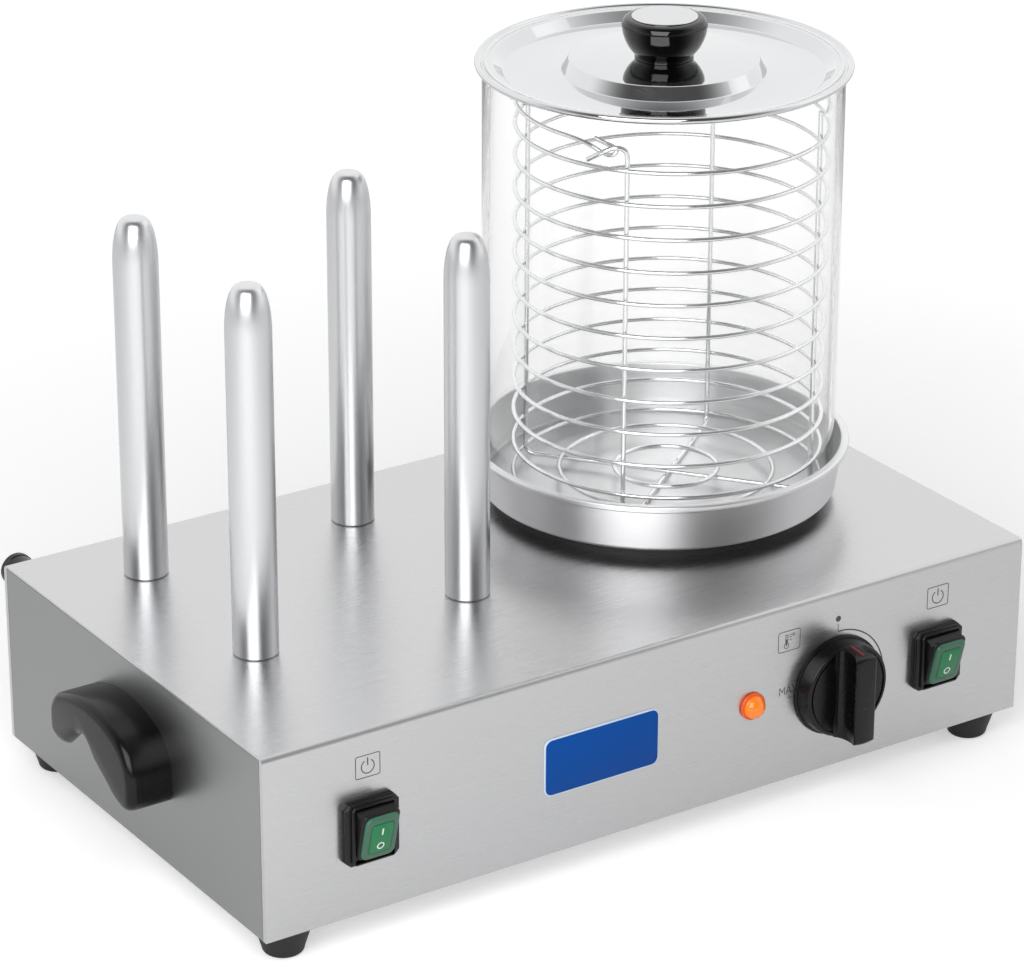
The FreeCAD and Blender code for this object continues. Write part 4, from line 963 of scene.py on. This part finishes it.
@dataclass
class Handles(Assembly):
    """Two moulded carrying handles, open below, with a rounded outer edge."""

    reach: float = 26.0
    wall: float = 4.0
    rounding: float = 5.0
    outline: tuple[tuple[float, ...], ...] = (
        (-33.4, 78.5, -3.0, 85.3), (30.0, 79.0, 41.4, 70.2), (46.5, 57.0), (46.4, 46.0, 42.6, 39.8),
        (36.0, 38.0, 27.6, 40.5), (20.0, 45.0), (5.0, 54.0, 0.4, 59.0), (-4.5, 63.2, -9.5, 63.3),
        (-15.0, 60.0), (-24.0, 52.0, -30.6, 49.2), (-38.0, 49.8, -42.6, 52.6), (-44.2, 58.0),
        (-44.2, 66.0, -40.8, 73.6),
    )

    def build(self) -> None:
        """Mould both handles."""
        outline: list[Pair] = []
        for corner, after in zip(self.outline, self.outline[1:] + self.outline[:1]):
            if len(corner) == 2:
                outline.append((corner[0], corner[1]))
            else:
                outline += through((corner[0], corner[1]), (corner[2], corner[3]), (after[0], after[1]))
        for side, face in (("left", LEFT_FACE), ("right", RIGHT_FACE)):
            piece = slab(face, outline, 0.0, self.reach, self.rounding, 6)
            self.hollow(piece, face)
            self.mount(piece, "handle_moulding_" + side, HANDLE, "black_plastic", ["handle_" + side], 50.0)

    def hollow(self, piece: bpy.types.Object, face: Face) -> None:
        """Cut the finger space out of a handle, open to the panel and below."""
        w = self.wall
        cutter = slab(face, [
            (-44.2 + w, 30.0), (46.5 - w, 30.0), (46.5 - w, 57.0), (42.0 - w, 66.0), (35.0 - w, 73.0 - w),
            (20.0, 83.0 - w), (-3.0, 85.3 - w), (-22.0, 82.8 - w), (-33.0, 76.5 - w), (-44.2 + w, 66.0),
        ], -1.0, self.reach - w)
        carve(piece, cutter)


@dataclass
class Switch(Assembly):
    """One rocker switch: its frame, its skirt and the lit cap with its rim, groove, lens and marks."""

    side: str = "left"
    column: float = -187.3
    height: float = 50.0
    tilt: float = 14.7
    axis_reach: float = 2.0
    half_width: float = 10.1
    below: float = 11.2
    above: float = 16.4
    level: float = 7.0
    thickness: float = 4.2
    room: Pair = (11.85, 15.85)
    frame_steps: tuple[tuple[float, ...], ...] = (
        (13.0, 17.0, 0.5, -12.0, 0.0, 0.0), (16.5, 18.0, 2.8, 0.0, 2.2, 0.5), (15.8, 17.6, 2.6, 2.2, 2.8, 0.0),
        (16.3, 17.9, 2.8, 2.8, 5.0, 1.0), (13.6, 17.0, 2.0, 5.0, 6.8, 0.7),
    )

    def face(self) -> Face:
        """The tilted plane of the rocker, from its hinge axis."""
        tilt = math.radians(self.tilt)
        return Face((self.column, FRONT - self.axis_reach, FLOOR + self.height), (1.0, 0.0, 0.0),
                    (0.0, -math.sin(tilt), math.cos(tilt)), (0.0, -math.cos(tilt), -math.sin(tilt)))

    def build(self) -> None:
        """Mould the frame and the cap and print the cap's marks."""
        self.mould_frame()
        face = self.face()
        middle = (self.above - self.below) / 2
        half = (self.above + self.below) / 2
        top = self.level + self.thickness
        for name, finish, grow, corner, low, high, edge, steps in (
            ("skirt", SATIN_BLACK, (1.3, 1.1), 3.4, self.level, self.level + 1.7, 0.9, 3),
            # The rim's paler green is a painted highlight and the groove's darker green is painted shade.
            ("rim", GREEN_RIM_PAINTED_HIGHLIGHT, (0.0, 0.0), 3.8, self.level, top - 0.5, 1.2, 4),
            ("groove", GREEN_GROOVE_PAINTED_SHADE, (-2.9, -3.5), 2.6, top - 1.2, top - 0.42, 0.1, 1),
            ("lens", GREEN, (-3.7, -4.4), 2.0, top - 1.2, top, 0.5, 3),
        ):
            outline = rounded_box(self.half_width + grow[0], half + grow[1], corner)
            layer = slab(face, [(u, v + middle) for u, v in outline], low, high, edge, steps)
            self.mount(layer, "switch_%s_%s" % (name, self.side), finish,
                       "black_plastic" if name == "skirt" else "green_cap",
                       ["switch_cap_" + self.side] if name == "rim" else (), 50.0)
        marks = [stroke(face, [(0.0, middle + 2.4), (0.0, middle + 6.6)], top, 0.9),
                 stroke(face, arc((0.0, middle - 5.0), 1.9, 0, 360, 20)[:-1], top, 0.7, True)]
        self.mount(join(marks), "switch_marks_" + self.side, WHITE_INK)

    def mould_frame(self) -> None:
        """Mould the snap-in frame as steps, each open in the middle for the rocker."""
        seat = on_front(self.column, self.height)
        steps = []
        for x_half, y_half, corner, low, high, edge in self.frame_steps:
            corners = [(x_half, y_half - corner), (x_half - corner, y_half)]
            quarter = corners + [(-u, v) for u, v in corners[::-1]]
            step = slab(seat, quarter + [(-u, -v) for u, v in quarter], low, high, edge, 3)
            u, v = self.room
            carve(step, slab(seat, [(-u, -v), (u, -v), (u, v), (-u, v)], low - 1.0, high + 1.0))
            steps.append(step)
        frame = join(steps)
        frame_owner = Assembly("housing")
        frame_owner.mount(frame, "switch_bezel_" + self.side, SATIN_BLACK, "black_plastic",
                          ["switch_frame_" + self.side], 35.0)
        self.pieces += frame_owner.pieces


def stroke(face: Face, points: Sequence[Pair], level: float, width: float,
           closed: bool = False) -> bpy.types.Object:
    """Print a line of ink on a face.

    Args:
        face: The plane that it is printed on.
        points: Its (u, v) corners.
        level: Distance of the printed surface from the plane.
        width: Width of the line.
        closed: Whether the line closes on itself.

    Returns:
        The line as a flat bead of ink.
    """
    out = Vector(face.out)
    spots = [face.at(u, v, level + 0.02) for u, v in points]
    sides: list[list[Vector]] = [[], []]
    for i, spot in enumerate(spots):
        before = (spot - spots[i - 1]) if i or closed else (spots[1] - spot)
        after = (spots[(i + 1) % len(spots)] - spot) if i + 1 < len(spots) or closed else before
        normal = before.cross(out).normalized()
        mitre = (normal + after.cross(out).normalized()).normalized()
        reach = mitre * width * MM / 2 / max(0.5, mitre.dot(normal))
        sides[0].append(spot - reach)
        sides[1].append(spot + reach)
    lines = []
    for side in sides:
        lines.append(draw_line(side, closed))
        deselect()
    piece = join(lines)
    bpy.ops.object.mode_set(mode="EDIT")
    bpy.ops.mesh.select_all(action="SELECT")
    bpy.ops.mesh.bridge_edge_loops()
    bpy.ops.mesh.select_all(action="SELECT")
    bpy.ops.mesh.extrude_region_move(TRANSFORM_OT_translate={"value": face.step(0.05)})
    bpy.ops.mesh.select_all(action="SELECT")
    bpy.ops.mesh.normals_make_consistent(inside=False)
    deselect()
    return piece


@dataclass
class Housing(Assembly):
    """The folded housing and what is fixed to it, with its bare plate and the moulding of its gland."""

    plate_centre: Pair = (-39.9, 52.3)
    plate_half: Pair = (37.4, 17.15)
    plate_corner: float = 5.0
    gland: Triple = (-235.0, 148.0, 112.0)
    gland_radius: float = 10.4
    gland_foot: Pair = (-2.5, -12.5)

    def build(self, nodes: dict[str, bpy.types.Object]) -> None:
        """Dress the frame's own nodes and make the plate and the gland's moulding.

        Args:
            nodes: The frame's nodes by name.
        """
        for finish, names in CAD_FINISHES.items():
            for name in names:
                node = nodes[name]
                node.data.materials.clear()
                node.data.materials.append(material_of(finish))
        seat = on_front(*self.plate_centre)
        for name, finish, inset, low, high, replaced in (
            ("badge_border", PALE_BORDER, 0.0, 0.0, 0.8, ["badge_plate"]),
            ("badge_face", BLUE, 0.8, 0.5, 1.0, []),
        ):
            half_u, half_v = self.plate_half
            outline = rounded_box(half_u - inset, half_v - inset, self.plate_corner - inset)
            self.mount(slab(seat, outline, low, high, 0.2, 2), name, finish, "blue_plate", replaced)
        rear = Face(self.gland, (-1.0, 0.0, 0.0), (0.0, 0.0, 1.0), (0.0, 1.0, 0.0))
        foot = arc((0.0, 0.0), self.gland_radius, 0, 180, 20)
        foot += arc(self.gland_foot, self.gland_radius, 180, 360, 20)
        boss = [(0.0, 2.0), (9.3, 2.0), (9.3, 3.6), (9.2, 11.5), (9.65, 12.0), (9.65, 15.2), (8.9, 16.0),
                (5.2, 16.0), (4.4, 15.2), (4.2, 11.0), (0.0, 11.0)]
        self.mount(join([slab(rear, foot, 0.0, 3.2, 0.8, 3), turned(boss, rear, 96)]), "gland_moulding",
                   SATIN_BLACK, "dark_plastic", ["cable_gland"], 35.0)


@dataclass
class PilotLamp(Assembly):
    """Snap-in pilot lamp with a domed lens; the flutes of its lens are not modelled."""

    seat: Pair = (60.8, 52.5)
    radius: float = 8.0
    reach: float = 7.6

    def build(self) -> None:
        """Turn the rim and the dome."""
        seat = on_front(*self.seat)
        rim = [(5.0, -10.0), (5.0, 0.0), (self.radius - 0.3, 0.0), (self.radius, 0.4), (self.radius, 1.4),
               (self.radius - 0.4, 2.0), (self.radius - 1.2, 2.0), (self.radius - 1.3, 1.2), (4.0, 1.0),
               (4.0, -10.0)]
        self.mount(turned(rim, seat, 64), "pilot_lamp_rim", AMBER_RIM, "amber_lens", ["pilot_lamp_lens"])
        reach = self.radius - 1.3
        dome = [(0.0, 1.0), (reach, 1.0), (reach, 2.2)]
        dome += [(reach * math.cos(math.radians(a)), 2.2 + (self.reach - 2.2) * math.sin(math.radians(a)))
                 for a in range(8, 90, 8)]
        piece = turned(dome + [(0.0, self.reach)], seat, 24)
        self.mount(piece, "pilot_lamp_dome", AMBER, "amber_lens", (), 20.0)


@dataclass
class Thermostat(Assembly):
    """Thermostat knob with a thin flange, a round skirt and a waisted grip with a red index line."""

    body: str = "thermostat_dial"
    seat: Pair = (119.3, 50.0)
    flange: float = 29.5
    skirt: float = 28.0
    rim: float = 27.6
    level: float = 10.5
    reach: float = 27.0
    half_grip: float = 6.9
    waist: float = 4.6
    index_reach: float = 28.05
    index_slope: float = 0.08

    def build(self) -> None:
        """Turn the skirt and shape the grip with its red index line."""
        seat = on_front(*self.seat)
        skirt = [(0.0, 0.5), (self.flange - 0.3, 0.5), (self.flange, 0.8), (self.flange, 1.3),
                 (self.flange - 0.4, 1.5), (self.skirt + 0.2, 1.5), (self.skirt, 1.8)]
        skirt += arc((self.rim - 1.6, self.level - 1.6), 1.6, 8, 90, 5)
        skirt += [(25.4, self.level), (25.1, self.level - 0.9), (24.5, self.level - 0.9),
                  (24.2, self.level - 0.1), (14.0, self.level + 0.3), (0.0, self.level + 0.4)]
        self.mount(turned(skirt, seat, 128), "thermostat_skirt", KNOB, "black_plastic", ["thermostat_knob"],
                   35.0)
        side = [(9.5, 10.6), (7.0, 11.2), (5.4, 12.8), (self.waist, 15.5), (self.waist, 18.0), (5.0, 21.0),
                (5.9, 23.6), (self.half_grip, 25.6), (self.half_grip - 0.2, 26.5),
                (self.half_grip - 1.2, self.reach)]
        along = Face(seat.origin, (1.0, 0.0, 0.0), (0.0, -1.0, 0.0), (0.0, 0.0, 1.0))
        grip = slab(along, side + [(-u, w) for u, w in side[::-1]], -30.0, 30.0)
        ends = [(0.0, 9.0), (27.6, 9.0), (27.6, 14.0), (26.8, 24.0)]
        ends += arc((24.6, self.reach - 2.0), 2.0, 0, 90, 4) + [(0.0, self.reach + 0.3)]
        carve(grip, turned(ends, seat, 96), "INTERSECT")
        self.mount(grip, "thermostat_grip", KNOB, "black_plastic", (), 30.0)
        slope = Vector((0.0, -1.0, -self.index_slope)).normalized()
        out = Vector((0.0, -self.index_slope, 1.0)).normalized()
        start = (self.seat[0], FRONT - 9.0, FLOOR + self.seat[1] + self.index_reach)
        edge = Face(start, tuple(slope), (1.0, 0.0, 0.0), tuple(out))
        # The dark red strip under the index line is painted shade in the slot.
        self.mount(stroke(edge, [(2.6, 0.4), (14.6, 0.4)], 0.0, 2.4), "thermostat_index_slot_painted_shade", RED_SLOT_PAINTED_SHADE)
        self.mount(stroke(edge, [(3.0, 0.4), (14.0, 0.4)], 0.06, 0.9), "thermostat_index", RED_INK)


@dataclass
class Prints(Assembly):
    """Grey marks printed on the control front."""

    line: float = 0.45

    def build(self) -> None:
        """Print the two power marks, the temperature mark and the dial's scale."""
        for side, u in (("left", -187.1), ("right", 189.5)):
            self.mount(join(self.power_mark(u, 86.0)), "power_print_" + side, INK)
        self.mount(join(self.temperature_mark(85.2, 85.8)), "temperature_print", INK)
        self.mount(join(self.scale()), "scale_print", INK)

    def draw(self, points: Sequence[Pair], closed: bool = False, width: float = 0.0) -> bpy.types.Object:
        """One printed line on the front."""
        return stroke(FRONT_FACE, points, 0.0, width or self.line, closed)

    def shifted(self, points: Sequence[Pair], u: float, v: float) -> list[Pair]:
        """The same points at another place."""
        return [(x + u, y + v) for x, y in points]

    def power_mark(self, u: float, v: float) -> list[bpy.types.Object]:
        """Open circle with an upright line, in a frame."""
        frame = self.shifted(rounded_box(7.4, 6.4, 1.0, 3), u, v)
        return [self.draw(frame, True), self.draw(arc((u, v - 0.3), 3.9, 120, 420, 24), width=0.6),
                self.draw([(u, v + 0.4), (u, v + 4.9)], width=0.7)]

    def temperature_mark(self, u: float, v: float) -> list[bpy.types.Object]:
        """Thermometer beside a few ticks, in a frame."""
        frame = self.shifted(rounded_box(7.4, 6.1, 1.4, 3), u, v)
        glass = [(u - 2.5, v + 3.8), (u - 2.5, v - 1.3)] + arc((u - 1.8, v - 2.7), 1.6, 115, 425, 12)
        glass += [(u - 1.1, v - 1.3), (u - 1.1, v + 3.8)]
        marks = [self.draw(frame, True), self.draw(glass, True),
                 self.draw([(u - 1.8, v - 2.7), (u - 1.8, v + 1.2)], width=0.9)]
        marks += [self.draw([(u + 0.2, v + 3.6 - 1.5 * i), (u + 1.5, v + 3.6 - 1.5 * i)]) for i in range(3)]
        marks.append(self.draw(arc((u + 2.9, v + 3.3), 0.7, 0, 360, 10)[:-1], True))
        return marks

    def scale(self) -> list[bpy.types.Object]:
        """Off dot with its line, the arc round the knob and MAX at its end."""
        marks = [self.draw(arc((119.0, 90.3), 0.9, 0, 360, 12)[:-1], True, 1.8),
                 self.draw([(119.0, 87.2), (119.0, 82.7)]),
                 self.draw(arc((119.3, 50.0), 32.6, 90, -68, 48), width=0.8)]
        letters = {
            79.6: [[(0.0, 0.0), (0.0, 4.6), (1.7, 1.8), (3.4, 4.6), (3.4, 0.0)]],
            84.0: [[(0.0, 0.0), (1.8, 4.6), (3.6, 0.0)], [(0.7, 1.5), (2.9, 1.5)]],
            88.2: [[(0.0, 0.0), (3.2, 4.6)], [(0.0, 4.6), (3.2, 0.0)]],
        }
        for u, lines in letters.items():
            marks += [self.draw(self.shifted(line, u, 53.2), width=0.6) for line in lines]
        return marks


def main() -> None:
    """Build the whole scene in order."""
    logging.basicConfig(level=logging.INFO, format="%(name)s: %(message)s")
    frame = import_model()
    Studio().build()
    housing = Housing()
    housing.build(frame["nodes"])
    assemblies: list[Assembly] = [
        Spikes(), Basin(), GlassCylinder(), Basket(), Lid(), Handles(), PilotLamp(), Thermostat(), Prints(),
        Switch(body="rocker_left", side="left", column=-187.3),
        Switch(body="rocker_right", side="right", column=188.5),
    ]
    for assembly in assemblies:
        assembly.build()
        LOG.info("%s: %s", type(assembly).__name__, ", ".join(assembly.pieces))
    bpy.context.scene.view_settings.view_transform = "Standard"


if __name__ == "__main__":
    main()
